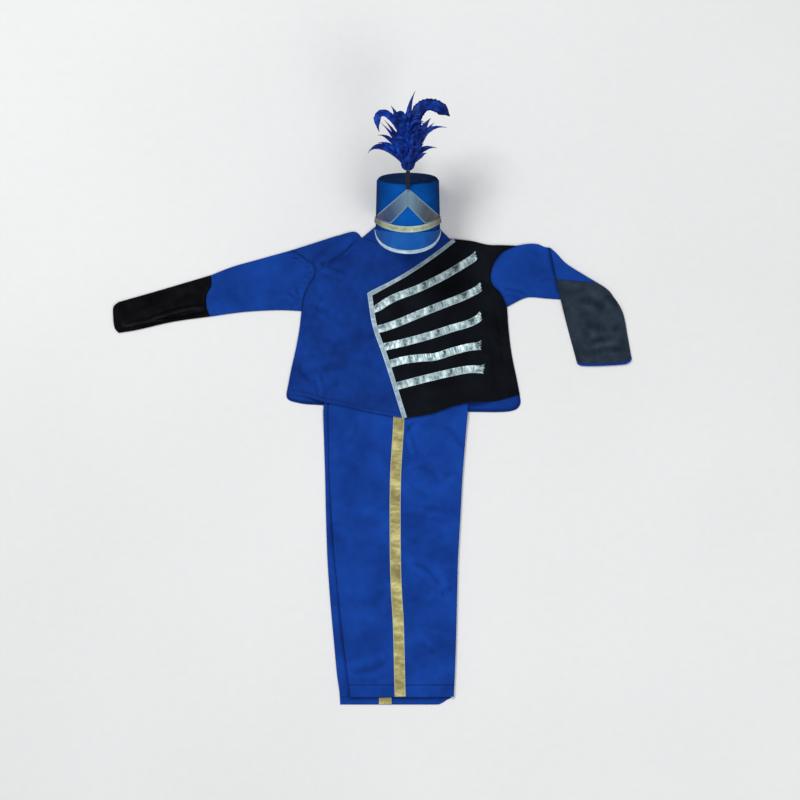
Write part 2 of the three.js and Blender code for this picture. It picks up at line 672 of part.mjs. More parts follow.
// The crown's top: a shallow dome that closes the wall
function crownTop() {
  const shares = [1, 0.66, 0.33];
  const layer = (raise) => {
    const points = shares.flatMap((share) =>
      crownTurns.map((turn) => {
        const [x, y, z] = crownPoint(turn, topLevel(turn));
        const rise = HAT.dome * (1 - share * share);
        const up = mix(HAT.height, y, share) + raise + rise;
        return [x * share, up, HAT.topShift + (z - HAT.topShift) * share];
      }),
    );
    return [...points, [0, HAT.height + raise + HAT.dome, HAT.topShift]];
  };
  const points = [...layer(SEAM), ...layer(SEAM + HAT.wall)];
  const count = points.length / 2;
  const triangles = [];
  crownTurns.forEach((_, k) => {
    const next = (k + 1) % HAT.sides;
    const skin = (from, flip) => {
      const add = (a, b, c) => triangles.push(flip ? [a, c, b] : [a, b, c]);
      shares.slice(1).forEach((_share, ring) => {
        const [a, b] = [from + ring * HAT.sides + k, from + ring * HAT.sides + next];
        add(a, b, b + HAT.sides);
        add(a, b + HAT.sides, a + HAT.sides);
      });
      const inner = from + (shares.length - 1) * HAT.sides;
      add(inner + k, inner + next, from + count - 1);
    };
    skin(0, true);
    skin(count, false);
    triangles.push([k, next, count + next], [k, count + next, count + k]);
  });
  return closedGeometry(points, triangles);
}

// The gold band round the crown's front: level in the middle, rising to its ends like a chin strap
const BAND = { low: 0.6, high: 13.6, rise: 12.5, thickness: 1.4, spread: 85, turns: 20 };
function crownBand() {
  const rings = steps(BAND.turns).map((t) => {
    const turn = (mix(-BAND.spread, BAND.spread, t) * Math.PI) / 180;
    const raised = BAND.rise * Math.sin(turn) ** 2;
    const edge = (y, gap) => crownPoint(turn, (y + raised) / HAT.height, -gap);
    const [near, far] = [SEAM, SEAM + BAND.thickness];
    return [edge(BAND.low, near), edge(BAND.high, near), edge(BAND.high, far), edge(BAND.low, far)];
  });
  return barOfRings(rings);
}

// A solid bar through a row of closed sections, capped at both ends
function barOfRings(rings) {
  const around = rings[0].length;
  const points = rings.flat();
  const triangles = [];
  for (let j = 0; j + 1 < rings.length; j++) {
    for (let k = 0; k < around; k++) {
      const [a, b] = [j * around + k, j * around + ((k + 1) % around)];
      triangles.push([a, b, b + around], [a, b + around, a + around]);
    }
  }
  const last = (rings.length - 1) * around;
  for (let k = 1; k + 1 < around; k++) {
    triangles.push([0, k + 1, k], [last, last + k, last + k + 1]);
  }
  return closedGeometry(points, triangles);
}

// The visor: a curved sheet from the front of the rim, forwards and down, as [inner to outer] rows
const VISOR = {
  reach: 29,
  drop: 42,
  sideDrop: 8,
  thickness: 2,
  turns: 18,
  spread: 78,
  standsOff: 0.6,
  below: 0.4,
  fullness: 0.62,
  outerWidthShare: 0.985,
  liftUp: 0.55,
  liftOut: 0.3,
  edgingFrom: 0.84,
};
function visorPoint(across, outwards, lift) {
  const turn = (across * VISOR.spread * Math.PI) / 180;
  const [x, , z] = crownPoint(turn, 0, -VISOR.standsOff - lift);
  const round = Math.cos((across * Math.PI) / 2) ** VISOR.fullness;
  const wide = mix(1, VISOR.outerWidthShare, outwards);
  const down = -VISOR.below - outwards * mix(VISOR.sideDrop, VISOR.drop, round);
  const out = outwards * VISOR.reach * round;
  return [x * wide, down + lift * VISOR.liftUp * round, z + out + lift * VISOR.liftOut];
}
function visorSheet(from, to, low, high) {
  const rows = steps(VISOR.turns).map((t) => mix(-1, 1, t));
  const rings = rows.map((across) => {
    const middle = (from + to) / 2;
    const line = (lift) => [from, middle, to].map((outwards) => visorPoint(across, outwards, lift));
    return [...line(low), ...line(high).reverse()];
  });
  return barOfRings(rings);
}

// The silver chevron ribbon on the front: one leg goes to each side and ends on the band's top edge.
const CHEVRON = [
  { outerX: 0.3, outerY: 95.3, innerX: 0.3, innerY: 56.3 },
  { outerX: 17, outerY: 80.5, innerX: 12, innerY: 44.2 },
  { outerX: 34.3, outerY: 64.7, innerX: 24, innerY: 31.6 },
  { outerX: 51.6, outerY: 47.8, innerX: 37, innerY: 17.8 },
  { outerX: 62.6, outerY: 36.1, innerX: 52, innerY: 21.4 },
  { outerX: 67.2, outerY: 29.8, innerX: 65, innerY: 25.2 },
];
const CHEVRON_GAP = 1.2;
function onCrown(x, y, gap) {
  const level = y / HAT.height;
  const halfWidth = mix(HAT.baseHalfWidth, HAT.topHalfWidth, level) + gap;
  const turn = Math.asin(Math.max(-1, Math.min(1, x / halfWidth)));
  return crownPoint(turn, level, -gap);
}
function chevronLeg(side) {
  const rings = CHEVRON.map(({ outerX, outerY, innerX, innerY }) => {
    const line = (gap) =>
      steps(4).map((t) => onCrown(side * mix(outerX, innerX, t), mix(outerY, innerY, t), gap));
    return [...line(CHEVRON_GAP), ...line(CHEVRON_GAP + RIBBON).reverse()];
  });
  return barOfRings(rings);
}

// A solid as a manifold-3d body, and back as a geometry.
function toSolid(geometry) {
  const merged = mergeVertices(geometry);
  return new wasm.Manifold(
    new wasm.Mesh({
      numProp: 3,
      vertProperties: merged.getAttribute("position").array,
      triVerts: new Uint32Array(merged.index.array),
    }),
  );
}
function toGeometry(solid) {
  const mesh = solid.getMesh();
  const geometry = new THREE.BufferGeometry();
  geometry.setAttribute("position", new THREE.BufferAttribute(mesh.vertProperties, 3));
  geometry.setIndex(new THREE.BufferAttribute(mesh.triVerts, 1));
  return geometry;
}

// Feathers of the plume: each tip, the point that its spine bows towards, and its widest half width.
// A curled feather has a second such point nearer its tip.
const PLUME_ROOT = 138;
const FEATHERS = [
  { tipX: 15.7, tipY: 302, front: 4, bowX: -10, bowY: 258, half: 6 },
  { tipX: 32, tipY: 284, front: 10, bowX: 2, bowY: 262, half: 9 },
  { tipX: 88, tipY: 249, front: 6, bowX: -4, bowY: 290, curlX: 48, curlY: 292, half: 12 },
  { tipX: 60, tipY: 262, front: -10, bowX: 10, bowY: 296, half: 11 },
  { tipX: 82, tipY: 224, front: -6, bowX: 24, bowY: 238, half: 6 },
  { tipX: 55, tipY: 236, front: 18, bowX: 30, bowY: 215, half: 6 },
  { tipX: 48, tipY: 246, front: 24, bowX: 25, bowY: 225, half: 8 },
  { tipX: 61, tipY: 182, front: 4, bowX: 20, bowY: 190, half: 6 },
  { tipX: 40, tipY: 172, front: 16, bowX: 20, bowY: 168, half: 6 },
  { tipX: 33, tipY: 193, front: 26, bowX: 18, bowY: 182, half: 6 },
  { tipX: -61, tipY: 216, front: 4, bowX: -8, bowY: 272, curlX: -84, curlY: 282, half: 8 },
  { tipX: -36, tipY: 270, front: -6, bowX: -12, bowY: 240, half: 8 },
  { tipX: -58, tipY: 236, front: 14, bowX: -20, bowY: 205, half: 4 },
  { tipX: -50, tipY: 239, front: -14, bowX: -15, bowY: 205, half: 5 },
  { tipX: -64, tipY: 208, front: -6, bowX: -29, bowY: 212, half: 5 },
  { tipX: -64, tipY: 193, front: 10, bowX: -30, bowY: 198, half: 5 },
  { tipX: -85, tipY: 171, front: 2, bowX: -56, bowY: 210, half: 7 },
  { tipX: -35, tipY: 170, front: 20, bowX: -15, bowY: 170, half: 6 },
  { tipX: 6, tipY: 262, front: 22, bowX: 0, bowY: 210, half: 12 },
  { tipX: -16, tipY: 250, front: 26, bowX: -10, bowY: 205, half: 12 },
  { tipX: 24, tipY: 250, front: 24, bowX: 14, bowY: 205, half: 12 },
  { tipX: -4, tipY: 228, front: 31, bowX: -2, bowY: 190, half: 11 },
  { tipX: 4, tipY: 256, front: -22, bowX: 2, bowY: 205, half: 12 },
  { tipX: -20, tipY: 240, front: -25, bowX: -12, bowY: 205, half: 12 },
  { tipX: 28, tipY: 238, front: -24, bowX: 16, bowY: 205, half: 12 },
  { tipX: 18, tipY: 232, front: 33, bowX: 16, bowY: 190, half: 8 },
  { tipX: -22, tipY: 222, front: 32, bowX: -18, bowY: 185, half: 8 },
  { tipX: 30, tipY: 208, front: 29, bowX: 14, bowY: 180, half: 7 },
  { tipX: -30, tipY: 204, front: 28, bowX: -16, bowY: 178, half: 7 },
  { tipX: 10, tipY: 212, front: 35, bowX: 2, bowY: 176, half: 8 },
  { tipX: -10, tipY: 196, front: 34, bowX: -4, bowY: 172, half: 8 },
];
const FEATHER_STEPS = 6;
const FEATHER_THICK = 1.6;
const ROOT_ASIDE = 2;
// How much of its tip's distance to the front a feather has at its root, its bow and its curl
const FRONT_SHARE = { root: 0.15, bow: 0.5, curl: 0.8 };
// A feather widens from its root and narrows to its tip, as shares of its length and its width.
const VANE = {
  rootWidth: 0.35,
  widensOver: 0.45,
  taperFrom: 0.55,
  curledFrom: 0.76,
  taperTo: 1.02,
  taperBy: 0.93,
};
const TIP_THICK_SHARE = 0.35;
function featherGeometry({ tipX, tipY, front, bowX, bowY, curlX, curlY, half }) {
  const curled = curlX !== undefined;
  const root = new THREE.Vector3(Math.sign(tipX) * ROOT_ASIDE, PLUME_ROOT, front * FRONT_SHARE.root);
  const bow = new THREE.Vector3(bowX, bowY, front * FRONT_SHARE.bow);
  const tip = new THREE.Vector3(tipX, tipY, front);
  const curl = new THREE.Vector3(curlX, curlY, front * FRONT_SHARE.curl);
  const spine = curled
    ? new THREE.CubicBezierCurve3(root, bow, curl, tip)
    : new THREE.QuadraticBezierCurve3(root, bow, tip);
  const taperFrom = curled ? VANE.curledFrom : VANE.taperFrom;
  const rings = steps(FEATHER_STEPS).map((t) => {
    const centre = spine.getPoint(t);
    const along = spine.getTangent(t);
    const across = new THREE.Vector3(along.y, -along.x, 0).normalize();
    const thick = across.clone().cross(along).normalize();
    const widened = mix(VANE.rootWidth, 1, smooth(t / VANE.widensOver));
    const tapered = 1 - smooth((t - taperFrom) / (VANE.taperTo - taperFrom)) * VANE.taperBy;
    const wide = half * widened * tapered;
    const corner = (a, b) => centre.clone().addScaledVector(across, a).addScaledVector(thick, b).toArray();
    const thin = FEATHER_THICK * mix(1, TIP_THICK_SHARE, t);
    return [corner(wide, 0), corner(0, thin), corner(-wide, 0), corner(0, -thin)];
  });
  return barOfRings(rings);
}

// A turned form from a table of radii and heights, without the attributes that keep its seam open
function turned(profile, sides) {
  const form = new THREE.LatheGeometry(profile.map(({ radius, up }) => new THREE.Vector2(radius, up)), sides);
  form.deleteAttribute("normal");
  form.deleteAttribute("uv");
  return form;
}

// The plume: all feathers joined at a round core
const CORE_PROFILE = [
  { radius: 0, up: 133 },
  { radius: 7, up: 134 },
  { radius: 13, up: 139 },
  { radius: 16, up: 148 },
  { radius: 14, up: 162 },
  { radius: 9, up: 176 },
  { radius: 0, up: 182 },
];
const CORE_SIDES = 10;
function plume() {
  let solid = toSolid(turned(CORE_PROFILE, CORE_SIDES));
  for (const feather of FEATHERS) solid = solid.add(toSolid(featherGeometry(feather)));
  return toGeometry(solid);
}

// The stem that holds the plume, standing in front of the crown's wall
const STEM_OFFSET = 5.8;
const STEM_FOOT = 93;
const STEM_SIDES = 12;
const STEM_PROFILE = [
  { radius: 0, up: 0 },
  { radius: 3.1, up: 0 },
  { radius: 4.1, up: 14 },
  { radius: 4.6, up: 39.6 },
  { radius: 0, up: 39.6 },
];

// The small button at each end of the band
const BUTTON = { face: 4.2, foot: 5.2, thickness: 3, sides: 14, standsOff: 1.3, up: 15 };
function button() {
  const knob = new THREE.CylinderGeometry(BUTTON.face, BUTTON.foot, BUTTON.thickness, BUTTON.sides);
  knob.rotateZ(-Math.PI / 2);
  knob.deleteAttribute("normal");
  knob.deleteAttribute("uv");
  return mergeVertices(knob);
}

function buildShako() {
  addPiece(shako, "shako_crown", crownWall(), MATERIALS.hatBlue);
  addPiece(shako, "shako_top", crownTop(), MATERIALS.hatTop);
  addPiece(shako, "shako_visor", visorSheet(0, 1, 0, VISOR.thickness), MATERIALS.hatBlue);
  const edgingFoot = VISOR.thickness + SEAM;
  const edging = visorSheet(VISOR.edgingFrom, 1, edgingFoot, edgingFoot + RIBBON);
  addPiece(shako, "visor_edging", edging, MATERIALS.silver);
  addPiece(shako, "shako_band", crownBand(), MATERIALS.gold);
  addPiece(shako, "chevron_right", chevronLeg(-1), MATERIALS.silver);
  addPiece(shako, "chevron_left", chevronLeg(1), MATERIALS.silver);
  for (const [side, name] of [[-1, "right"], [1, "left"]]) {
    const knob = button();
    if (side < 0) knob.rotateY(Math.PI);
    knob.translate(side * (HAT.baseHalfWidth + BUTTON.standsOff), BUTTON.up, 0);
    addPiece(shako, `strap_button_${name}`, knob, MATERIALS.darkPlastic);
  }
  const frontZ = crownPoint(0, 1)[2];
  const stem = mergeVertices(turned(STEM_PROFILE, STEM_SIDES));
  stem.translate(0, STEM_FOOT, frontZ + STEM_OFFSET);
  addPiece(shako, "plume_stem", stem, MATERIALS.darkPlastic);
  const feathers = plume();
  feathers.translate(0, 0, frontZ + STEM_OFFSET);
  addPiece(shako, "plume", feathers, MATERIALS.feather);
}

jacketBody();
addPiece(uniform, "front_trim", frontTrim(), MATERIALS.silver);
braids();
addPiece(uniform, "collar", collar(), MATERIALS.blueCloth);
rightSleeve();
leftSleeve();
trousers();
buildShako();

// The shako is turned until the flat at the rear of its crown lies on the ground.
const rearTurn = crownTurns[HAT.sides / 2];
const rearFoot = crownPoint(rearTurn, 0);
const rearHead = crownPoint(rearTurn, 1);
const lean = Math.atan2(rearFoot[2] - rearHead[2], HAT.height);
shako.rotation.x = lean;
shako.position.set(HAT.centreX, HAT.rearY + rearFoot[2] * Math.sin(lean), -rearFoot[2] * Math.cos(lean));
uniform.add(shako);

// The origin is under the middle of the whole layout.
uniform.position.set(MIDDLE_X, MIDDLE_Y, 0);

export default uniform;
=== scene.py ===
"""A child's marching band uniform laid out flat on a pale floor, seen from straight above."""
import math
import random

import bmesh
import bpy
import numpy as np
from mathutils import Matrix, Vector


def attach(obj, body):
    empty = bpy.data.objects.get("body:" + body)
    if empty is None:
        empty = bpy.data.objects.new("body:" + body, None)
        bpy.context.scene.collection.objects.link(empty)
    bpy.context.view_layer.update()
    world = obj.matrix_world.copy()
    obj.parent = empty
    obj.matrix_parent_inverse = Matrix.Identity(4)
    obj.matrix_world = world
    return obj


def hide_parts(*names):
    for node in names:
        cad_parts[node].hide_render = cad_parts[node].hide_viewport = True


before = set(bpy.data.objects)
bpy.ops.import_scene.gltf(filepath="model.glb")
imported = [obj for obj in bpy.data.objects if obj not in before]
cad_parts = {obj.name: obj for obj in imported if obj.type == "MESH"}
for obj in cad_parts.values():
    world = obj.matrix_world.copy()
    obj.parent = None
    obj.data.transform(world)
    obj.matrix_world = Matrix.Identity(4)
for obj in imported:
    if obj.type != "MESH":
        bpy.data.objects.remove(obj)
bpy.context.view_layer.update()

random.seed(8)
bpy.ops.object.select_all(action="DESELECT")

# Lengths here are millimetres in the layout's own frame; the pieces are moved and scaled at the end.
MIDDLE = np.array([-4.5, 15.0, 0.0])
MM = 0.001
CLOTH = 1.2
SHELL = 0.9
SEAM = 0.3
TUBE_HEIGHT = 3.4
TUBE_EDGE = 3.0
BACK_TOP = CLOTH + SEAM
UNDER_LEG_TOP = TUBE_HEIGHT + SEAM
FRONT_OVER_TROUSERS = 10.4
DETAIL = 6


def smooth(t):
    t = np.clip(t, 0.0, 1.0)
    return t * t * (3 - 2 * t)


def mix(a, b, t):
    return a + (b - a) * t


# Lines, grids and cloth walls


def line_length(line):
    """The length of a line up to each of its points."""
    return np.concatenate([[0], np.cumsum(np.linalg.norm(np.diff(line, axis=0), axis=1))])


def curve_through(points, segments):
    """Evenly spaced points on a smooth curve through a few points."""
    p = np.array(points, float)
    p = np.vstack([2 * p[0] - p[1], p, 2 * p[-1] - p[-2]])
    fine = []
    for a, b, c, d in zip(p, p[1:], p[2:], p[3:]):
        ab, bc, cd = (max(np.linalg.norm(v) ** 0.5, 1e-6) for v in (b - a, c - b, d - c))
        into = ((b - a) / ab - (c - a) / (ab + bc) + (c - b) / bc) * bc
        out = ((c - b) / bc - (d - b) / (bc + cd) + (d - c) / cd) * bc
        second = 3 * (c - b) - 2 * into - out
        third = 2 * (b - c) + into + out
        for w in np.linspace(0, 1, 40, endpoint=False):
            fine.append(b + into * w + second * w**2 + third * w**3)
    fine = np.array(fine + [p[-2]])
    gone = line_length(fine)
    at = np.linspace(0, gone[-1], segments + 1)
    return np.column_stack([np.interp(at, gone, fine[:, k]) for k in range(fine.shape[1])])


def edge_line(points, parts):
    """A panel's edge: a smooth curve in a number of parts, each cut to the same detail."""
    return curve_through(points, parts * DETAIL)


def joined(*lines):
    """Lines end to end, with the shared ends kept once."""
    out = [np.array(lines[0], float)]
    for line in lines[1:]:
        out.append(np.array(line, float)[1:])
    return np.vstack(out)


def on_line(line, t):
    """The points at shares t of the way along a line, counted by its segments."""
    at = np.clip(np.asarray(t, float), 0, 1) * (len(line) - 1)
    k = np.minimum(len(line) - 2, np.floor(at)).astype(int)
    w = (at - k)[..., None]
    return line[k] * (1 - w) + line[k + 1] * w


def beside(line, distance):
    """A line moved sideways, to its left as it runs."""
    ahead = np.vstack([line[1:], line[-1:]]) - np.vstack([line[:1], line[:-1]])
    ahead = ahead / np.linalg.norm(ahead, axis=1, keepdims=True)
    return line + np.column_stack([-ahead[:, 1], ahead[:, 0]]) * distance


def patch(bottom, top, left, right, columns, rows):
    """A grid of points that fills the patch between four edges, as rows of columns."""
    u, v = np.meshgrid(columns, rows)
    u, v = u[..., None], v[..., None]
    across = on_line(bottom, columns)[None] * (1 - v) + on_line(top, columns)[None] * v
    along = on_line(left, rows)[:, None] * (1 - u) + on_line(right, rows)[:, None] * u
    low = bottom[0] * (1 - u) + bottom[-1] * u
    high = top[0] * (1 - u) + top[-1] * u
    return across + along - (low * (1 - v) + high * v)


def shares(count):
    return np.linspace(0, 1, count + 1)


def bell(distance, half):
    """1 at no distance, and little left beyond twice the half width."""
    return np.exp(-((distance / half) ** 2))


def points_of(mesh):
    return np.array([tuple(v.co) for v in mesh.vertices])


def map_points(mesh, uv):
    """Gives a mesh its map, from a place in millimetres for each of its points."""
    layer = mesh.uv_layers.active or mesh.uv_layers.new(name="cloth")
    loops = np.empty(len(mesh.loops), int)
    mesh.loops.foreach_get("vertex_index", loops)
    layer.data.foreach_set("uv", (np.asarray(uv)[loops] * MM).ravel())


def select_only(piece=None):
    """Selects one piece alone, or nothing."""
    bpy.ops.object.select_all(action="DESELECT")
    if piece is not None:
        piece.select_set(True)
        bpy.context.view_layer.objects.active = piece


def fix_place():
    """Leaves the selected piece at the origin, unturned and unscaled."""
    bpy.ops.object.transform_apply(location=True, rotation=True, scale=True)


def dress(piece, material, smooth_angle=60):
    """Gives a piece its material, its smooth shading and its body."""
    piece.data.materials.clear()
    piece.data.materials.append(material)
    select_only(piece)
    bpy.ops.object.shade_smooth_by_angle(angle=math.radians(smooth_angle))
    piece.select_set(False)
    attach(piece, "root")


def finish_mesh(name, points, faces, material, slot, uv=None, smooth_angle=60, hollow=None, node=None):
    """One piece from points in the layout's frame, at its place in metres, riding on the body."""
    mesh = bpy.data.meshes.new(name)
    mesh.from_pydata(((np.asarray(points) + MIDDLE) * MM).tolist(), [], faces)
    # The 'hollow' values become a point attribute that the material turns into painted shade and painted
    # highlights.
    if hollow is not None:
        p = np.asarray(points)
        layer = mesh.attributes.new("hollow", "FLOAT", "POINT")
        layer.data.foreach_set("value", hollow(p[:, 0], p[:, 1]).astype(np.float32))
    if uv is not None:
        map_points(mesh, uv)
    piece = bpy.data.objects.new(name, mesh)
    bpy.context.scene.collection.objects.link(piece)
    made = bmesh.new()
    made.from_mesh(mesh)
    bmesh.ops.recalc_face_normals(made, faces=made.faces)
    if made.calc_volume(signed=True) < 0:
        bmesh.ops.reverse_faces(made, faces=made.faces)
    made.to_mesh(mesh)
    made.free()
    dress(piece, material, smooth_angle)
    if node is not None:
        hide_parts(node)
    return piece


def wall(grid, under, thickness):
    """Points and faces of a wall of cloth on a grid, with its underside at the heights under."""
    rows, columns = grid.shape[:2]
    count = rows * columns
    flat = grid.reshape(-1, 2)
    low = np.column_stack([flat, under.reshape(-1)])
    thick = np.broadcast_to(thickness, under.shape).reshape(-1)
    points = np.vstack([low, low + np.column_stack([np.zeros((count, 2)), thick])])
    at = np.arange(count).reshape(rows, columns)
    a, b, c, d = (q.ravel() for q in (at[:-1, :-1], at[:-1, 1:], at[1:, 1:], at[1:, :-1]))
    faces = np.vstack([np.column_stack([a, d, c, b]), np.column_stack([a, b, c, d]) + count])
    rim = np.concatenate([at[0, :-1], at[:-1, -1], at[-1, :0:-1], at[:0:-1, 0]])
    nxt = np.roll(rim, -1)
    faces = np.vstack([faces, np.column_stack([rim, nxt, nxt + count, rim + count])])
    return points, faces.tolist()


def ring_tube(outer, inner):
    """Points and faces of a tube wall from outer and inner rings at each station."""
    stations, around = outer.shape[:2]
    shell = stations * around
    points = np.vstack([outer.reshape(-1, 3), inner.reshape(-1, 3)])
    at = np.arange(shell).reshape(stations, around)
    nxt = np.roll(at, -1, axis=1)
    a, b, c, d = (q.ravel() for q in (at[:-1], nxt[:-1], nxt[1:], at[1:]))
    faces = [np.column_stack([a, b, c, d]), np.column_stack([a, d, c, b]) + shell]
    faces.append(np.column_stack([at[0], at[0] + shell, nxt[0] + shell, nxt[0]]))
    faces.append(np.column_stack([at[-1], nxt[-1], nxt[-1] + shell, at[-1] + shell]))
    return points, np.vstack(faces).tolist()


# Folds and creases


def fold_rise(folds, x, y):
    """How high a table of broad folds lifts the cloth."""
    total = np.zeros_like(x)
    for x1, y1, x2, y2, half, rise in folds:
        dx, dy = x2 - x1, y2 - y1
        along = np.clip(((x - x1) * dx + (y - y1) * dy) / (dx * dx + dy * dy), 0, 1)
        away = np.hypot(x - mix(x1, x2, along), y - mix(y1, y2, along))
        ends = smooth(np.minimum(along, 1 - along) * 4 + 0.35)
        total += rise * ends * (1 - smooth(away / half))
    return total


CREASE_SPREAD = 1.55
# A crease has a bank on one side: its share of the depth, how far aside and how wide it is
BANK_SHARE, BANK_ASIDE, BANK_WIDTH = 0.45, 1.6, 1.3


def creases(table, x, y):
    """Fine creases: each runs between two points, bowed aside, with its half width and its depth."""
    total = np.zeros_like(x)
    for x1, y1, x2, y2, bow, half, depth in table:
        half = half * CREASE_SPREAD
        dx, dy = x2 - x1, y2 - y1
        length = math.hypot(dx, dy)
        along = ((x - x1) * dx + (y - y1) * dy) / length**2
        side = ((y - y1) * dx - (x - x1) * dy) / length - bow * 4 * along * (1 - along)
        ends = smooth(along / 0.3) * smooth((1 - along) / 0.3)
        bank = bell(side - BANK_ASIDE * half, BANK_WIDTH * half)
        total += depth * ends * (bell(side, half) - BANK_SHARE * bank)
    return total


def ripple(x, y, size, seed):
    """A gentle unevenness of the cloth, between about -1 and 1."""
    rng = np.random.default_rng(seed)
    total = np.zeros_like(x)
    for k in range(7):
        turn = rng.uniform(0, 2 * math.pi)
        wave = 2 * math.pi / (size * rng.uniform(0.55, 1.5))
        phase = rng.uniform(0, 2 * math.pi)
        s, c = math.sin(turn), math.cos(turn)
        bend = rng.uniform(0.4, 1.2) * np.sin((x * s - y * c) * wave * 0.45 + phase * 2)
        total += np.sin((x * c + y * s) * wave + phase + bend)
    return total / 4.2


# Each fold: from x, y to x, y, half width, rise
FRONT_FOLDS = [
    (-40, 352, -112, 296, 19, 2.8),
    (-112, 282, -60, 262, 12, 2.6),
    (-118, 205, -62, 172, 17, 3),
    (-150, 128, -20, 142, 26, 3.4),
    (-160, 66, -10, 92, 22, 3.8),
    (-118, 46, -108, -2, 11, 2.4),
    (20, 300, 120, 330, 18, 1.6),
    (96, 8, 262, 24, 24, 3),
    (262, 190, 280, 60, 16, 3),
]
LEG_FOLDS = [
    (70, -60, 92, -130, 11, 2.2),
    (88, -164, 136, -210, 24, 1.3),
    (136, -210, 190, -172, 24, 1.2),
    (66, -246, 168, -262, 15, 1.8),
    (72, -352, 172, -428, 20, 2.8),
    (-60, -330, 34, -352, 22, 2),
    (-46, -592, 34, -566, 20, 2.6),
    (96, -520, 170, -566, 18, 2),
]

# Each crease: from x, y to x, y, bowed aside by, half width, depth
FRONT_CREASES = [
    (-122, 276, -24, 350, -8, 4.8, -1.5),
    (-124, 290, -70, 310, -3, 3.4, -1.0),
    (-50, 322, -28, 350, 2, 4, -0.9),
    (-120, 266, -80, 244, 4, 5.5, -1.0),
    (-112, 306, -106, 276, 2, 4, -0.8),
    (-140, 240, -104, 206, 4, 6, -0.8),
    (-150, 196, -56, 172, 6, 7, -1.9),
    (-147, 186, -100, 152, 5, 6, -1.0),
    (-52, 139, 19, 143, -11, 8, -1.6),
    (-122, 64, -40, 84, -5, 8, -1.9),
    (-84, 98, 12, 73, -6, 8, -1.9),
    (-168, 72, -122, 26, -5, 5, -1.3),
    (-112, 60, -120, 4, 3, 5, -0.9),
    (-90, 34, -30, 8, 4, 7, -0.9),
    (-40, 40, 30, 4, 5, 8, -0.9),
    (5, 300, 10, 336, 3, 6, -0.8),
    (44, 300, 92, 316, 4, 6, -0.8),
    (-120, 128, -70, 108, 3, 6, -0.9),
    (-20, 210, 2, 120, 6, 8, -0.8),
    (232, 262, 262, 214, 6, 5, -1.8),
    (268, 208, 282, 120, 8, 7, -1.9),
    (240, 182, 276, 172, 4, 4, -1.2),
    (262, 150, 296, 110, -6, 5, -1.4),
    (250, 60, 312, 92, 6, 7, -1.6),
    (96, 12, 232, 30, 9, 8, -1.8),
    (84, 222, 168, 244, 5, 6, -0.9),
    (70, 140, 150, 164, 5, 6, -0.9),
    (210, 318, 246, 284, 6, 5, -1.2),
]
LEG_CREASES = [
    (-30, -42, -54, -112, 5, 7, -1.6),
    (102, -46, 70, -92, -5, 5, -1.9),
    (150, -56, 206, -122, 6, 6, -1.3),
    (91, -150, 150, -202, 15, 7, -2.0),
    (142, -206, 194, -160, 8, 7, -1.5),
    (68, -200, 132, -230, 6, 8, -0.8),
    (-70, -60, -62, -140, 3, 7, -1.0),
    (-44, -200, 30, -214, 5, 9, -0.9),
    (96, -262, 186, -236, 7, 9, -1.2),
    (-84, -150, -20, -166, 6, 8, -1.0),
    (74, -358, 160, -436, 14, 6.5, -2.9),
    (150, -440, 184, -420, 5, 6, -1.3),
    (70, -318, 172, -300, -7, 8, -1.0),
    (-72, -272, 38, -290, 8, 9, -1.4),
    (40, -340, 66, -372, 3, 5, -1.0),
    (-60, -452, 30, -438, -6, 9, -1.1),
    (88, -500, 170, -516, 6, 7, -1.2),
    (-54, -606, 46, -566, -12, 7, -2.2),
    (94, -600, 176, -586, 6, 7, -1.1),
    (124, -566, 168, -546, 4, 6, -1.2),
    (-36, -622, 20, -628, 3, 5, -0.9),
]
SLEEVE_RIGHT_CREASES = [
    (-188, 232, -159, 198, 4, 4, -1.3),
    (-206, 216, -164, 196, 3, 4.5, -1.1),
    (-166, 246, -154, 206, -3, 3.4, -1.2),
    (-176, 310, -134, 284, 5, 5, -1.0),
    (-210, 262, -320, 252, 6, 9, -0.9),
    (-220, 226, -336, 210, -5, 8, -0.8),
]
GAUNTLET_RIGHT_CREASES = [
    (-500, 163, -362, 199, 5, 2.2, 1.9),
    (-556, 152, -430, 171, 3, 2.2, 1.1),
    (-540, 176, -480, 196, 4, 6, -1.0),
    (-440, 222, -372, 240, -4, 7, 1.0),
    (-556, 160, -520, 150, 3, 5, 0.9),
]
SLEEVE_LEFT_CREASES = [
    (284, 238, 348, 223, 3, 3.6, -2.2),
    (290, 226, 334, 212, 2, 3.6, -1.5),
    (362, 251, 406, 259, 3, 3.6, -1.4),
    (330, 330, 372, 302, 5, 6, -1.0),
    (392, 322, 404, 262, -4, 4, -1.3),
]
GAUNTLET_LEFT_CREASES = [
    (424, 250, 512, 262, 6, 6, -1.5),
    (440, 214, 528, 178, 10, 7, -1.7),
    (462, 168, 552, 150, -9, 8, -1.4),
    (468, 112, 546, 132, 6, 6, -1.6),
    (478, 98, 560, 104, 4, 5, -1.2),
    (508, 226, 548, 190, 5, 6, -1.3),
]


def hollows(height, shadow_lines=(), reach=3.5, gain=1.9, half=2.2):
    """Painted shade for cloth: how deep each place lies among its neighbours, 1 in a trough, where shade is
    painted, and -1 on a ridge, where a highlight is painted.

    Each shadow line is a line and how dark the shadow painted along it is, from 0 to 1.
    """

    def depth(x, y):
        around = height(x + reach, y) + height(x - reach, y) + height(x, y + reach) + height(x, y - reach)
        total = (around / 4 - height(x, y)) * gain
        for line, dark in shadow_lines:
            total = total + dark * bell(near_line(line, x, y), half)
        return np.clip(total, -1, 1)

    return depth


# The jacket's lines

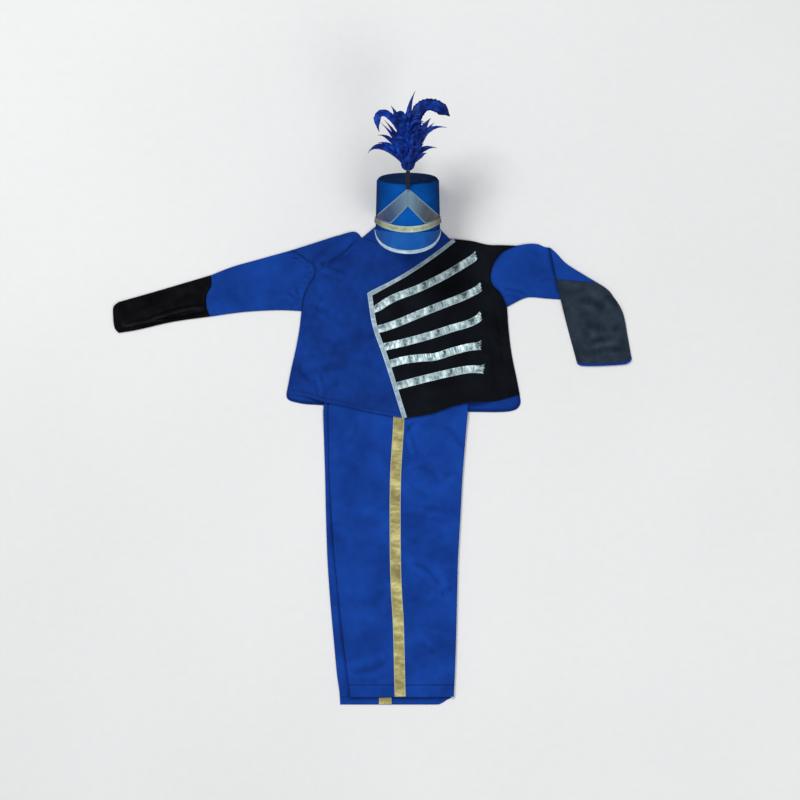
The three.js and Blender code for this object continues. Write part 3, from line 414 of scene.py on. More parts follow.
right_side = edge_line([(-187, 7), (-177, 59), (-166, 108), (-159, 147), (-154, 189)], 8)
right_armhole = edge_line(
    [(-154, 189), (-150, 218), (-139, 244), (-125, 268), (-127, 288), (-149, 306), (-175, 323)], 8
)
right_shoulder = edge_line([(-175, 323), (-109, 344), (-74, 355), (-34, 363), (-21, 350)], 5)
front_neck = edge_line([(-21, 350), (20, 334), (50, 324), (80, 321), (112, 324), (148, 338), (173, 347)], 6)
back_neck = edge_line([(-21, 350), (30, 345), (79, 343), (130, 345), (173, 347)], 6)
left_shoulder = edge_line([(184, 347), (221, 343), (256, 335), (290, 334), (318, 333)], 5)
left_armhole = edge_line(
    [(298, 198), (283, 229), (265, 248), (261, 266), (270, 295), (289, 319), (318, 333)], 8
)
left_side = edge_line([(326, 5), (320, 37), (309, 90), (302, 143), (298, 198)], 8)
opening_low = edge_line([(73, -47), (32, 85), (7, 158), (-4, 226)], 8)
opening_high = edge_line([(-4, 226), (72, 267), (138, 311), (184, 347)], 8)
opening = joined(opening_low, opening_high)
right_hem = edge_line([(-187, 7), (-140, 0), (-104, -11), (-59, -20), (-19, -30), (73, -47)], 10)
left_hem = edge_line([(73, -47), (132, -37), (177, -21), (219, -12), (272, -9), (326, 5)], 10)
back_hem = edge_line(
    [
        (-187, 7), (-186, -4), (-157, -14), (-109, -18), (80, -28),
        (219, -33), (317, -28), (328, -14), (326, 5),
    ],
    14,
)


def over_trousers(x, y):
    """How far the front is lifted by the trousers tucked in under it, from 0 to 1."""
    aside = np.maximum(np.maximum(-110 - x, x - 216), 0)
    above = np.maximum(y - 66, 0)
    return 1 - smooth(np.hypot(aside, above) / 62)


def flat_ground(x, _y):
    return np.zeros_like(x)


def near_line(line, x, y):
    """The distance from each place to the nearest point of a line."""
    flat = np.column_stack([np.ravel(x), np.ravel(y)])
    best = np.full(len(flat), 1e9)
    for a, b in zip(line, line[1:]):
        run = b - a
        share = np.clip((flat - a) @ run / max(run @ run, 1e-9), 0, 1)
        away = flat - a - share[:, None] * run
        best = np.minimum(best, np.hypot(away[:, 0], away[:, 1]))
    return best.reshape(np.shape(x))


def front_top(x, y):
    """The top of the two front panels: the solid's own height with finer creases on it."""
    from_side = np.minimum(x + 160, 300 - x)
    from_shoulder = 335 - y
    loft = 2.2 * smooth(from_side / 70) * smooth(from_shoulder / 60)
    inside = smooth(np.minimum(from_side + 20, from_shoulder + 40) / 30)
    lifted = mix(BACK_TOP, FRONT_OVER_TROUSERS, over_trousers(x, y))
    fine = 1.25 * creases(FRONT_CREASES, x, y) + 0.7 * ripple(x, y, 70, 3) + 0.3 * ripple(x, y, 24, 4)
    inner = smooth(np.minimum(from_side + 24, from_shoulder + 30) / 44)
    under = lifted + loft + fold_rise(FRONT_FOLDS, x, y) * inside
    return np.maximum(under + CLOTH + fine * inner, BACK_TOP + SHELL + 0.15)


def ribbon_grid(line, half, across):
    """A grid of points along a line, to both sides of it."""
    sides = np.linspace(half, -half, across + 1)
    return np.stack([beside(line, s) for s in sides], axis=1)


# Materials


class Nodes:
    """A small helper that adds shader nodes and joins them."""

    def __init__(self, name):
        self.material = bpy.data.materials.new(name)
        self.material.use_nodes = True
        self.tree = self.material.node_tree
        self.shader = self.tree.nodes["Principled BSDF"]

    def add(self, kind, **values):
        node = self.tree.nodes.new(kind)
        for key, value in values.items():
            setattr(node, key, value)
        return node

    def link(self, out, into):
        self.tree.links.new(out, into)

    def coordinates(self, source, scale=(1, 1, 1), turn=0.0):
        place = self.add("ShaderNodeTexCoord")
        mapping = self.add("ShaderNodeMapping")
        mapping.inputs["Scale"].default_value = scale
        mapping.inputs["Rotation"].default_value = (0, 0, turn)
        self.link(place.outputs[source], mapping.inputs["Vector"])
        return mapping.outputs["Vector"]

    def wave(self, where, period, direction, distortion=0.0, profile="SIN"):
        """Bands a given distance apart, in metres."""
        node = self.add("ShaderNodeTexWave", bands_direction=direction, wave_profile=profile)
        node.inputs["Scale"].default_value = 2 * math.pi / (20 * period)
        node.inputs["Distortion"].default_value = distortion
        node.inputs["Detail"].default_value = 1.0
        self.link(where, node.inputs["Vector"])
        return node.outputs["Fac"]

    def noise(self, where, size, detail=3.0, rough=0.55):
        node = self.add("ShaderNodeTexNoise")
        node.inputs["Scale"].default_value = 1 / size
        node.inputs["Detail"].default_value = detail
        node.inputs["Roughness"].default_value = rough
        self.link(where, node.inputs["Vector"])
        return node.outputs["Fac"]

    def math(self, operation, a, b):
        node = self.add("ShaderNodeMath", operation=operation)
        for socket, value in zip(node.inputs, (a, b)):
            if isinstance(value, (int, float)):
                socket.default_value = value
            else:
                self.link(value, socket)
        return node.outputs["Value"]

    def scaled(self, value, share, added):
        """A value times a share, and a little more."""
        return self.math("ADD", self.math("MULTIPLY", value, share), added)

    def weighed(self, one, share, other, other_share):
        """Two values mixed by their shares."""
        return self.math("ADD", self.math("MULTIPLY", one, share), self.math("MULTIPLY", other, other_share))

    def apart(self, where):
        """The first two coordinates of a place, each by itself."""
        node = self.add("ShaderNodeSeparateXYZ")
        self.link(where, node.inputs["Vector"])
        return node.outputs["X"], node.outputs["Y"]

    def ramp(self, fac, stops):
        node = self.add("ShaderNodeValToRGB")
        while len(node.color_ramp.elements) < len(stops):
            node.color_ramp.elements.new(0.5)
        for element, (place, colour) in zip(node.color_ramp.elements, stops):
            element.position = place
            element.color = (*colour, 1)
        self.link(fac, node.inputs["Fac"])
        return node.outputs["Color"]

    def blend(self, fac, a, b, kind="MIX"):
        node = self.add("ShaderNodeMix", data_type="RGBA", blend_type=kind)
        if isinstance(fac, (int, float)):
            node.inputs["Factor"].default_value = fac
        else:
            self.link(fac, node.inputs["Factor"])
        for socket, value in ((node.inputs[6], a), (node.inputs[7], b)):
            if isinstance(value, tuple):
                socket.default_value = (*value, 1)
            else:
                self.link(value, socket)
        return node.outputs[2]

    def attribute(self, name):
        node = self.add("ShaderNodeAttribute", attribute_type="GEOMETRY", attribute_name=name)
        return node.outputs["Fac"]

    def relief(self, colour, stops=((0.08, 1.0), (0.5, 0.8), (0.97, 0.34))):
        """Paints shade into a colour in the hollows of the cloth and paints highlights on its ridges, from
        the piece's 'hollow' values.
        """
        level = self.scaled(self.attribute("hollow"), 0.5, 0.5)
        shade = self.ramp(level, [(place, (share,) * 3) for place, share in stops])
        return self.blend(1.0, colour, shade, "MULTIPLY")

    def bump(self, height, distance, strength=1.0, below=None):
        node = self.add("ShaderNodeBump")
        node.inputs["Distance"].default_value = distance
        node.inputs["Strength"].default_value = strength
        self.link(height, node.inputs["Height"])
        if below is not None:
            self.link(below, node.inputs["Normal"])
        return node.outputs["Normal"]

    def surface(self, colour, roughness, normal=None, **values):
        for name, value in (("Base Color", colour), ("Roughness", roughness)):
            socket = self.shader.inputs[name]
            if isinstance(value, tuple):
                socket.default_value = (*value, 1)
            elif isinstance(value, (int, float)):
                socket.default_value = value
            else:
                self.link(value, socket)
        if normal is not None:
            self.link(normal, self.shader.inputs["Normal"])
        for name, value in values.items():
            socket = self.shader.inputs[name.replace("_", " ")]
            socket.default_value = value if isinstance(value, (int, float)) else (*value, 1)
        return self.material


def woven(name, dark, light, turn=0.0, thread=0.0007, roughness=(0.72, 0.92), gloss=0.1):
    """Plain woven cloth: warp and weft threads, fine slubs, an uneven dye, painted shade in its hollows and
    along its shadow lines, and painted highlights on its ridges.
    """
    n = Nodes(name)
    where = n.coordinates("Object", turn=turn)
    warp = n.wave(where, thread * 2, "X", 0.6)
    weft = n.wave(where, thread * 2, "Y", 0.6)
    threads = n.math("MAXIMUM", warp, n.math("MULTIPLY", weft, 0.92))
    slubs = n.noise(n.coordinates("Object", scale=(1, 6, 1), turn=turn), 0.004, 4.0)
    patches = n.noise(where, 0.07, 4.0)
    fuzz = n.noise(where, 0.0012, 2.0)
    tone = n.weighed(patches, 0.7, slubs, 0.3)
    colour = n.ramp(tone, [(0.36, dark), (0.64, light)])
    gaps = n.ramp(threads, [(0.25, (0.74, 0.74, 0.76)), (0.75, (1, 1, 1))])
    # Painted shade in the hollows and painted highlights on the ridges.
    colour = n.relief(n.blend(0.55, colour, gaps, "MULTIPLY"))
    rough = n.scaled(fuzz, roughness[1] - roughness[0], roughness[0])
    rumples = n.noise(n.coordinates("Object", scale=(1, 0.5, 1), turn=turn + 0.7), 0.036, 3.0, 0.6)
    normal = n.bump(patches, 0.006, 0.8)
    normal = n.bump(rumples, 0.0045, 0.8, normal)
    normal = n.bump(threads, 0.00018, 0.7, normal)
    normal = n.bump(slubs, 0.0004, 0.6, normal)
    return n.surface(colour, rough, normal, Specular_IOR_Level=gloss)


# Painted highlights on the satin's ridges and painted shade in its hollows: its tones are set bright and
# darkened everywhere but on the ridges.
SATIN_PAINTED_SHEEN = ((0.10, 1.0), (0.38, 0.42), (0.52, 0.3), (0.95, 0.10))


def satin(name, dark, light, turn=0.0, gloss=0.22):
    """Satin: long floats that run one way, a broad soft gloss, painted highlights on its ridges and painted
    shade in its hollows.
    """
    n = Nodes(name)
    where = n.coordinates("Object", turn=turn)
    floats = n.noise(n.coordinates("Object", scale=(1, 14, 1), turn=turn), 0.006, 4.0)
    patches = n.noise(where, 0.03, 4.0)
    threads = n.wave(where, 0.0009, "Y", 0.5)
    tone = n.weighed(patches, 0.7, floats, 0.3)
    colour = n.relief(n.ramp(tone, [(0.36, dark), (0.66, light)]), SATIN_PAINTED_SHEEN)
    rough = n.scaled(floats, 0.2, 0.34)
    normal = n.bump(patches, 0.003, 0.6)
    normal = n.bump(floats, 0.0004, 0.5, normal)
    normal = n.bump(threads, 0.0001, 0.4, normal)
    return n.surface(colour, rough, normal, Specular_IOR_Level=gloss, Anisotropic=0.5)


def metal_ribbon(
    name, tones, edge, width, edging, metallic=0.35, crinkle=0.019, ends=None, gloss=0.4, net_share=0.4
):
    """Metallic ribbon on its own map: fine crosswise threads, crinkles with painted highlights and painted
    shade on them, and woven edges.

    Its ends, where given, are a tint, the middle of the length, and from where and over how far it comes in.
    """
    n = Nodes(name)
    where = n.coordinates("UV")
    along, across = n.apart(where)
    crush = n.noise(n.coordinates("UV", scale=(1, 0.4, 1)), crinkle, 4.0, 0.62)
    fine = n.noise(n.coordinates("UV", scale=(1, 0.5, 1)), crinkle / 6, 3.0)
    rib = n.wave(where, 0.0009, "X", 0.3)
    net = n.wave(where, 0.0011, "Y", 0.3)
    tone = n.weighed(crush, 0.8, fine, 0.2)
    # The tones follow the crinkles: the metal's own colour with painted highlights on the crinkles and
    # painted shade between them.
    colour = n.ramp(tone, list(zip((0.39, 0.49, 0.59), tones)))
    mesh = n.math("MULTIPLY", rib, net)
    weave = n.ramp(mesh, [(0.05, (0.8, 0.8, 0.8)), (0.5, (1, 1, 1))])
    colour = n.blend(net_share, colour, weave, "MULTIPLY")
    from_middle = n.math("ABSOLUTE", across, 0)
    at_edge = n.math("GREATER_THAN", from_middle, (width / 2 - edging) * MM)
    colour = n.blend(n.math("MULTIPLY", at_edge, 0.75), colour, edge)
    if ends is not None:
        tint, middle, from_here, over = ends
        away = n.math("ABSOLUTE", n.math("SUBTRACT", along, middle * MM), 0)
        share = n.math("MULTIPLY", n.math("SUBTRACT", away, from_here * MM), 0.85 / (over * MM))
        share = n.math("MINIMUM", n.math("MAXIMUM", share, 0), 0.85)
        colour = n.blend(share, colour, tint)
    colour = n.relief(colour, ((0.3, 1.0), (0.5, 1.0), (0.95, 0.08)))
    rough = n.scaled(fine, 0.2, 0.28)
    normal = n.bump(crush, 0.0035, 0.9)
    normal = n.bump(fine, 0.0006, 0.6, normal)
    normal = n.bump(mesh, 0.00012, 0.6 * net_share, normal)
    return n.surface(colour, rough, normal, Metallic=metallic, Specular_IOR_Level=gloss)


blue_cloth = woven("blue_twill", (0.0030, 0.031, 0.215), (0.0062, 0.058, 0.365))
SLEEVE_DARK, SLEEVE_LIGHT = (0.0032, 0.040, 0.265), (0.0066, 0.069, 0.425)
sleeve_cloth = woven("blue_twill_sleeve", SLEEVE_DARK, SLEEVE_LIGHT, turn=math.radians(13))
folded_cloth = woven("blue_twill_folded_sleeve", SLEEVE_DARK, SLEEVE_LIGHT, turn=math.radians(6))
trouser_cloth = woven(
    "blue_trouser_twill", (0.0038, 0.042, 0.285), (0.0076, 0.074, 0.460), turn=math.radians(1)
)
black_cloth = woven("black_suiting", (0.0030, 0.0038, 0.0062), (0.0075, 0.0096, 0.0145), gloss=0.05)
black_satin = satin("black_satin", (0.0036, 0.0033, 0.0048), (0.0120, 0.0115, 0.0170), math.radians(14), 0.03)
# The left gauntlet's satin: the same black satin with its floats turned, painted much lighter as a painted
# sheen.
satin_with_painted_sheen = satin(
    "black_satin_painted_sheen", (0.036, 0.058, 0.094), (0.088, 0.135, 0.200), math.radians(-75), 0.04
)
# Crinkle tones, dark to light: the light ones are painted highlights and the dark ones painted shade on the
# crinkled silver.
SILVER_TONES = ((0.045, 0.080, 0.096), (0.35, 0.49, 0.52), (0.80, 0.98, 1.0))
silver = metal_ribbon("silver_foil_ribbon", SILVER_TONES, (0.62, 0.78, 0.80), 16.4, 0.7)
TRIM_TONES = ((0.20, 0.29, 0.35), (0.30, 0.41, 0.48), (0.42, 0.56, 0.63))
silver_trim = metal_ribbon("silver_trim_ribbon", TRIM_TONES, (0.42, 0.55, 0.62), 10, 1.6, 0.25)
GOLD_TONES = ((0.26, 0.21, 0.075), (0.41, 0.36, 0.135), (0.70, 0.64, 0.26))
gold = metal_ribbon("gold_foil_ribbon", GOLD_TONES, (0.52, 0.53, 0.34), 24, 1.6, 0.3, 0.04)


# Sewing


def stitch_form():
    """One stitch, a short thread that dips at both ends, 1 long, 1 wide and 1 high."""
    bpy.ops.mesh.primitive_cylinder_add(vertices=6, radius=0.5, depth=1, rotation=(0, math.pi / 2, 0))
    form = bpy.context.object
    bpy.ops.object.transform_apply(rotation=True, location=False, scale=False)
    bpy.ops.object.mode_set(mode="EDIT")
    for cut in (-0.2, 0.2):
        bpy.ops.mesh.select_all(action="SELECT")
        bpy.ops.mesh.bisect(plane_co=(cut, 0, 0), plane_no=(1, 0, 0))
    bpy.ops.object.mode_set(mode="OBJECT")
    points = points_of(form.data)
    ends = np.abs(points[:, 0]) > 0.4
    points[ends] *= (1, 0.5, 0.5)
    points[ends, 2] -= 0.45
    faces = [list(p.vertices) for p in form.data.polygons]
    bpy.data.objects.remove(form)
    return points, faces


STITCH_POINTS, STITCH_FACES = stitch_form()


def stitch_rows(name, lines, height, rise, material, slot, length=2.6, pitch=3.6, wide=0.45, high=0.5):
    """Rows of stitches along lines, a little above a surface, joined as one piece."""
    points, faces = [], []
    for line in lines:
        gone = line_length(line)
        count = int(gone[-1] / pitch)
        for k in range(count):
            at = (k + 0.5) / count * gone[-1]
            ahead = min(at + 1, gone[-1])
            places = (at, ahead, ahead - 2)
            (x, x1, x0), (y, y1, y0) = (np.interp(places, gone, line[:, axis]) for axis in (0, 1))
            turn = math.atan2(y1 - y0, x1 - x0)
            c, s = math.cos(turn), math.sin(turn)
            form = STITCH_POINTS * (length * random.uniform(0.92, 1.05), wide, high)
            flat = np.column_stack([x + form[:, 0] * c - form[:, 1] * s, y + form[:, 0] * s + form[:, 1] * c])
            start = len(points) * len(form)
            points.append(np.column_stack([flat, height(flat[:, 0], flat[:, 1]) + rise + form[:, 2]]))
            faces.extend([[start + i for i in face] for face in STITCH_FACES])
    return finish_mesh(name, np.vstack(points), faces, material, slot, smooth_angle=80)


def thread(name, colour):
    """Sewing thread with its fine twist."""
    n = Nodes(name)
    twist = n.wave(n.coordinates("Object", turn=0.8), 0.0004, "X", 0.5)
    shade = n.ramp(twist, [(0.2, tuple(c * 0.7 for c in colour)), (0.8, colour)])
    return n.surface(shade, 0.5, n.bump(twist, 0.0001, 0.6))


blue_thread = thread("blue_thread", (0.008, 0.05, 0.30))
black_thread = thread("black_thread", (0.008, 0.009, 0.012))
silver_thread = thread("silver_thread", (0.45, 0.56, 0.58))
gold_thread = thread("gold_thread", (0.42, 0.38, 0.17))


# Jacket panels


def sheet_area(grid):
    """The area of a grid of points, in square metres."""
    one, two = grid[1:, 1:] - grid[:-1, :-1], grid[1:, :-1] - grid[:-1, 1:]
    return float(np.abs(one[..., 0] * two[..., 1] - one[..., 1] * two[..., 0]).sum() / 2) * MM * MM


HEM_LINE = 9
# Painted shadow lines beside the armhole seams and along the hems, each with how dark it is.
PANEL_SEAM_SHADOWS = [
    (beside(right_armhole, -1), 0.8),
    (beside(left_armhole, 1), 0.95),
    (beside(right_hem, HEM_LINE), 0.5),
    (beside(left_hem, HEM_LINE), 0.5),
]


def jacket_panels():
    """The back and the two fronts, each a wall of cloth on a grid between its seam lines."""
    right_edge, left_edge = joined(right_side, right_armhole), joined(left_side, left_armhole)
    neck_end = on_line(np.array([(173, 347), (184, 347)], float), shares(DETAIL))
    right = beside(opening, SEAM / 2)
    bottom, top = right_hem.copy(), joined(right_shoulder, front_neck, neck_end)
    bottom[-1], top[-1] = right[0], right[-1]
    blue_grid = patch(bottom, top, right_edge, right, shares(140), shares(176))
    left = beside(opening, -SEAM / 2)
    bottom, top = left_hem.copy(), left_shoulder.copy()
    bottom[0], top[0] = left[0], left[-1]
    black_grid = patch(bottom, top, left, left_edge, shares(120), shares(176))
    # Painted shade in the fronts' creases and painted shadows along their seams and hems.
    relief = hollows(front_top, PANEL_SEAM_SHADOWS, half=1.8)
    fronts = []
    for name, grid, cloth, slot, node in (
        ("front_right_cloth", blue_grid, blue_cloth, "blue_cloth", "jacket_front_right"),
        ("front_left_cloth", black_grid, black_cloth, "black_cloth", "jacket_front_left"),
    ):
        skin = wall(grid, front_top(grid[..., 0], grid[..., 1]) - SHELL, SHELL)
        fronts.append((finish_mesh(name, *skin, cloth, slot, hollow=relief, node=node), grid))
    top = joined(right_shoulder, back_neck, neck_end, left_shoulder)
    back_grid = patch(back_hem, top, right_edge, left_edge, shares(102), shares(96))
    # Painted shadow along a line 4 mm beside the back's hem.
    relief = hollows(flat_ground, [(beside(back_hem, 4), 0.95)])
    skin = wall(back_grid, np.zeros(back_grid.shape[:2]), SHELL)
    back = finish_mesh("back_cloth", *skin, blue_cloth, "blue_cloth", hollow=relief, node="jacket_back")
    return fronts


def stage_floor():
    """The pale floor under the uniform, for the picture alone."""
    bpy.ops.mesh.primitive_plane_add(size=9, location=(0, 0, -0.0006))
    floor = bpy.context.object
    floor.name = "floor"
    n = Nodes("pale_floor")
    grain = n.noise(n.coordinates("Object"), 0.02, 5.0)
    wide = n.noise(n.coordinates("Object"), 0.9, 2.0)
    tone = n.weighed(grain, 0.3, wide, 0.7)
    colour = n.ramp(tone, [(0.3, (0.77, 0.77, 0.765)), (0.7, (0.83, 0.83, 0.825))])
    floor.data.materials.append(n.surface(colour, 0.7, n.bump(grain, 0.0004, 0.3)))
    floor.select_set(False)


stage_floor()
(blue_front, blue_grid), (black_front, black_grid) = jacket_panels()


# Trim and braids on the front

TRIM_HALF = 5
TRIM_HALF_HIGH = 4.1
TRIM_NARROWS_OVER = 60
TRIM_LOW = [(73, -46), (32, 85), (7, 158), (-4, 226)]
TRIM_HIGH = [(-4, 226), (72, 267), (138, 311), (182, 345)]
TRIM_MITRE = [(-9.6, 227.5), (-4, 226), (1.8, 223.4)]
BRAID_HALF = 8.2
BRAIDS = [
    [(8, 192), (45, 215.6), (98, 236.5), (151, 261.8), (190, 284), (230, 309)],
    [(19, 149), (58, 162.8), (111, 184.8), (164, 205.7), (203, 221), (241, 240)],
    [(29, 110), (72, 120), (124, 134), (177, 151), (217, 163), (241, 176)],
    [(42, 73), (72, 81), (111, 86), (138, 88), (177, 100), (217, 110), (241, 112)],
    [(56, 24), (98, 35), (138, 45), (177, 54), (217, 61), (247, 60)],
]
RIBBON_GAP, RIBBON_THICK = 0.35, 0.5


def ribbon_piece(
    name, grid, line, half, material, slot, crinkle, seed, surface, node, gap=RIBBON_GAP, specks=None
):
    """A ribbon laid on a surface, with uneven crosswise crinkles."""
    x, y = grid[..., 0], grid[..., 1]
    across = np.linspace(half, -half, grid.shape[1])
    rng = np.random.default_rng(seed)
    along = line_length(line)[:, None] + 0 * across[None]
    wrinkle = np.zeros_like(x)
    for _ in range(9):
        wave = 2 * math.pi / rng.uniform(5, 17)
        slant = rng.uniform(-0.9, 0.9)
        phase = rng.uniform(0, 6.3)
        bend = 0.8 * np.sin(along * 0.05 + rng.uniform(0, 6))
        wrinkle += np.sin((along + slant * across) * wave + phase + bend)
    wrinkle = np.clip(wrinkle / 4 + 0.35, 0, 1.4) * crinkle
    edge = 1 - 0.55 * (np.abs(across) / half) ** 4
    skin = wall(grid, surface(x, y) + gap + wrinkle * edge[None], RIBBON_THICK)
    uv = np.stack([along, across[None] + 0 * along], axis=-1).reshape(-1, 2)
    return finish_mesh(name, *skin, material, slot, np.vstack([uv, uv]), 50, specks, node)


def fine_line(points, step=2.0):
    """A smooth line through a few points, in steps of about this length."""
    rough = curve_through(points, 200)
    return curve_through(points, max(8, int(line_length(rough)[-1] / step)))


def both_sides(line, away):
    """The two lines that run beside a line."""
    return [beside(line, away), beside(line, -away)]


def front_trim():
    """The silver trim along the front edge, narrower above its mitred corner."""
    low, high = fine_line(TRIM_LOW), fine_line(TRIM_HIGH)
    low_grid = ribbon_grid(low, TRIM_HALF, 6)
    narrow = mix(TRIM_HALF, TRIM_HALF_HIGH, smooth(line_length(high) / TRIM_NARROWS_OVER))[:, None, None]
    high_grid = high[:, None] + (ribbon_grid(high, TRIM_HALF, 6) - high[:, None]) * narrow / TRIM_HALF
    low_grid[-1] = high_grid[0] = on_line(np.array(TRIM_MITRE, float), shares(6))
    for row in range(1, 3):
        low_grid[-1 - row] = low_grid[-1 - row] * 0.7 + low_grid[-2 - row] * 0.3
    grid = np.vstack([low_grid, high_grid[1:]])
    piece = ribbon_piece(
        "front_trim_ribbon", grid, grid[:, 3], TRIM_HALF, silver_trim, "silver_ribbon",
        0.35, 11, front_top, "front_trim",
    )
    sides = both_sides(joined(low, high), TRIM_HALF_HIGH - 1.3)
    rows = stitch_rows(
        "front_trim_stitches", sides, front_top, 1.15, silver_thread, "silver_ribbon", 2.4, 3.4
    )


def braids():
    """The five silver braids, cut along the trim at one end and frayed at the other."""
    trim_side = beside(fine_line(TRIM_LOW, 6), -TRIM_HALF - 0.4)
    across = np.linspace(1, -1, 11)
    for k, points in enumerate(BRAIDS):
        line = fine_line(points, 1.7)
        grid = ribbon_grid(line, BRAID_HALF, 10)
        shift = np.interp(grid[0, :, 1], trim_side[:, 1], trim_side[:, 0]) - grid[0, :, 0]
        for row in range(6):
            grid[row, :, 0] += shift * (1 - row / 6)
        for row in range(7):
            pull = (1 - row / 7) ** 2
            grid[-1 - row, :, 0] += pull * (2.0 * across + 1.5 * np.sin(across * 9 + k))
            grid[-1 - row, :, 1] += pull * (4.6 * np.clip(across, 0, 1) ** 2)
        end = line[-1]

        def frayed(x, y):
            """Dark specks where the ribbon's end is frayed."""
            from_end = np.hypot(x - end[0], y - end[1])
            return np.clip(ripple(x, y, 7, 80 + k) * 1.6 - 0.35, 0, 1) * smooth((17 - from_end) / 9)

        name = f"braid_{k + 1}"
        piece = ribbon_piece(
            f"{name}_ribbon", grid, line, BRAID_HALF, silver, "silver_ribbon",
            1.1, 20 + k, front_top, name, specks=frayed,
        )
        sides = both_sides(line[3:-3], BRAID_HALF - 1.2)
        stitch_rows(f"{name}_stitches", sides, front_top, 1.35, silver_thread, "silver_ribbon", 2.6, 4.4)


front_trim()
braids()
right_hem_sewn, left_hem_sewn = beside(right_hem, HEM_LINE + 1)[6:-5], beside(left_hem, HEM_LINE + 1)[5:-6]
for name, front, grid, sewn, cotton, slot in (
    ("right_hem_stitches", blue_front, blue_grid, right_hem_sewn, blue_thread, "blue_cloth"),
    ("left_hem_stitches", black_front, black_grid, left_hem_sewn, black_thread, "black_cloth"),
):
    stitch_rows(name, [sewn], front_top, 0.12, cotton, slot)


# Flat tubes: collar, sleeves and legs

# A tube's columns near its folded edge, as shares of the width over which the edge is rounded
EDGE_COLUMNS = np.array([0.04, 0.13, 0.28, 0.5, 0.75, 1.0])
EDGE_WIDTH = 3.0


def tube_columns(width, count):
    """Shares across a flat tube, close together at its two folded edges."""
    edge = EDGE_COLUMNS * EDGE_WIDTH / width
    middle = np.linspace(edge[-1], 1 - edge[-1], count)
    return np.concatenate([[0], edge[:-1], middle, 1 - edge[-2::-1], [1]])


def tube(over, under, base, height, top_extra=None):
    """The wall of a flat tube with softly rounded folded edges, between its upper and lower grids."""
    first, last = over[:, :1], over[:, -1:]
    from_edge = np.minimum(np.linalg.norm(over - first, axis=2), np.linalg.norm(over - last, axis=2))
    round_off = np.sqrt(np.clip(1 - (1 - np.clip(from_edge / EDGE_WIDTH, 0, 1)) ** 2, 0, 1))
    tall = height(over[..., 0], over[..., 1])
    if top_extra is not None:
        tall = tall + top_extra(over[..., 0], over[..., 1]) * smooth(from_edge / 12)
    tall = np.maximum(tall, 2 * SHELL + 0.5)
    upper_z = base(over[..., 0], over[..., 1]) + TUBE_EDGE / 2 + (tall - TUBE_EDGE / 2) * round_off
    lower_z = base(under[..., 0], under[..., 1]) + TUBE_EDGE / 2 * (1 - round_off)
    middle = over.shape[1] // 2
    aim = over[:, middle : middle + 1] - over
    aim = aim / np.maximum(np.linalg.norm(aim, axis=2, keepdims=True), 1e-6)
    pull = aim * (SHELL * (1 - round_off))[..., None]
    drop = SHELL * np.clip(round_off, 0, 1)
    outer = ring_of(over, upper_z, under, lower_z)
    return ring_tube(outer, ring_of(over + pull, upper_z - drop, under + pull, lower_z + drop))


def ring_of(over, upper_z, under, lower_z):
    """Closed rings from an upper and a lower grid and their heights."""
    upper = np.concatenate([over, upper_z[..., None]], axis=2)
    lower = np.concatenate([under, lower_z[..., None]], axis=2)
    return np.concatenate([upper, lower[:, -2:0:-1]], axis=1)


def level(up):
    """A height function that is the same everywhere."""
    return lambda x, y: up + 0 * x


COLLAR_HEIGHT = 3.8


def collar():
    """The low stand collar, laid flat: its front shows beside the shako, its back lies under it."""
    back_top = edge_line([(11, 377), (45, 380.6), (80, 381.9), (115, 380.6), (147, 373)], 6)
    front_high = edge_line(
        [(11, 377), (34, 363), (58, 355), (80, 353), (104, 355), (128, 361), (147, 373)], 6
    )
    front, back = beside(front_neck, SEAM * 1.4), beside(back_neck, SEAM * 1.4)
    back[0], back[-1] = front[0], front[-1]
    columns = tube_columns(200, 44)
    layers = []
    for seam, top in ((front, front_high), (back, back_top)):
        ends = [curve_through([seam[k], top[k]], 16) for k in (0, -1)]
        layers.append(patch(seam, top, *ends, columns, shares(16)))

    def soft(x, y):
        return 0.4 * ripple(x, y, 40, 31)

    skin = tube(*layers, flat_ground, level(COLLAR_HEIGHT), soft)
    # Painted shade in the collar's soft ripples and painted shadows along the neck seam and the collar's top
    # edge.
    relief = hollows(soft, [(front_neck, 0.95), (front_high, 0.95)], half=1.8)
    piece = finish_mesh("collar_cloth", *skin, blue_cloth, "blue_cloth", hollow=relief, node="collar")


SLEEVE_GAP = 0.2
CUFF_BAND = 6.5
SLEEVE_COLUMNS = tube_columns(110, 44)


def seam_dip(line, x, y):
    """How far the cloth sinks along a seam line."""
    return -0.8 * bell(near_line(line, x, y), 2.5)


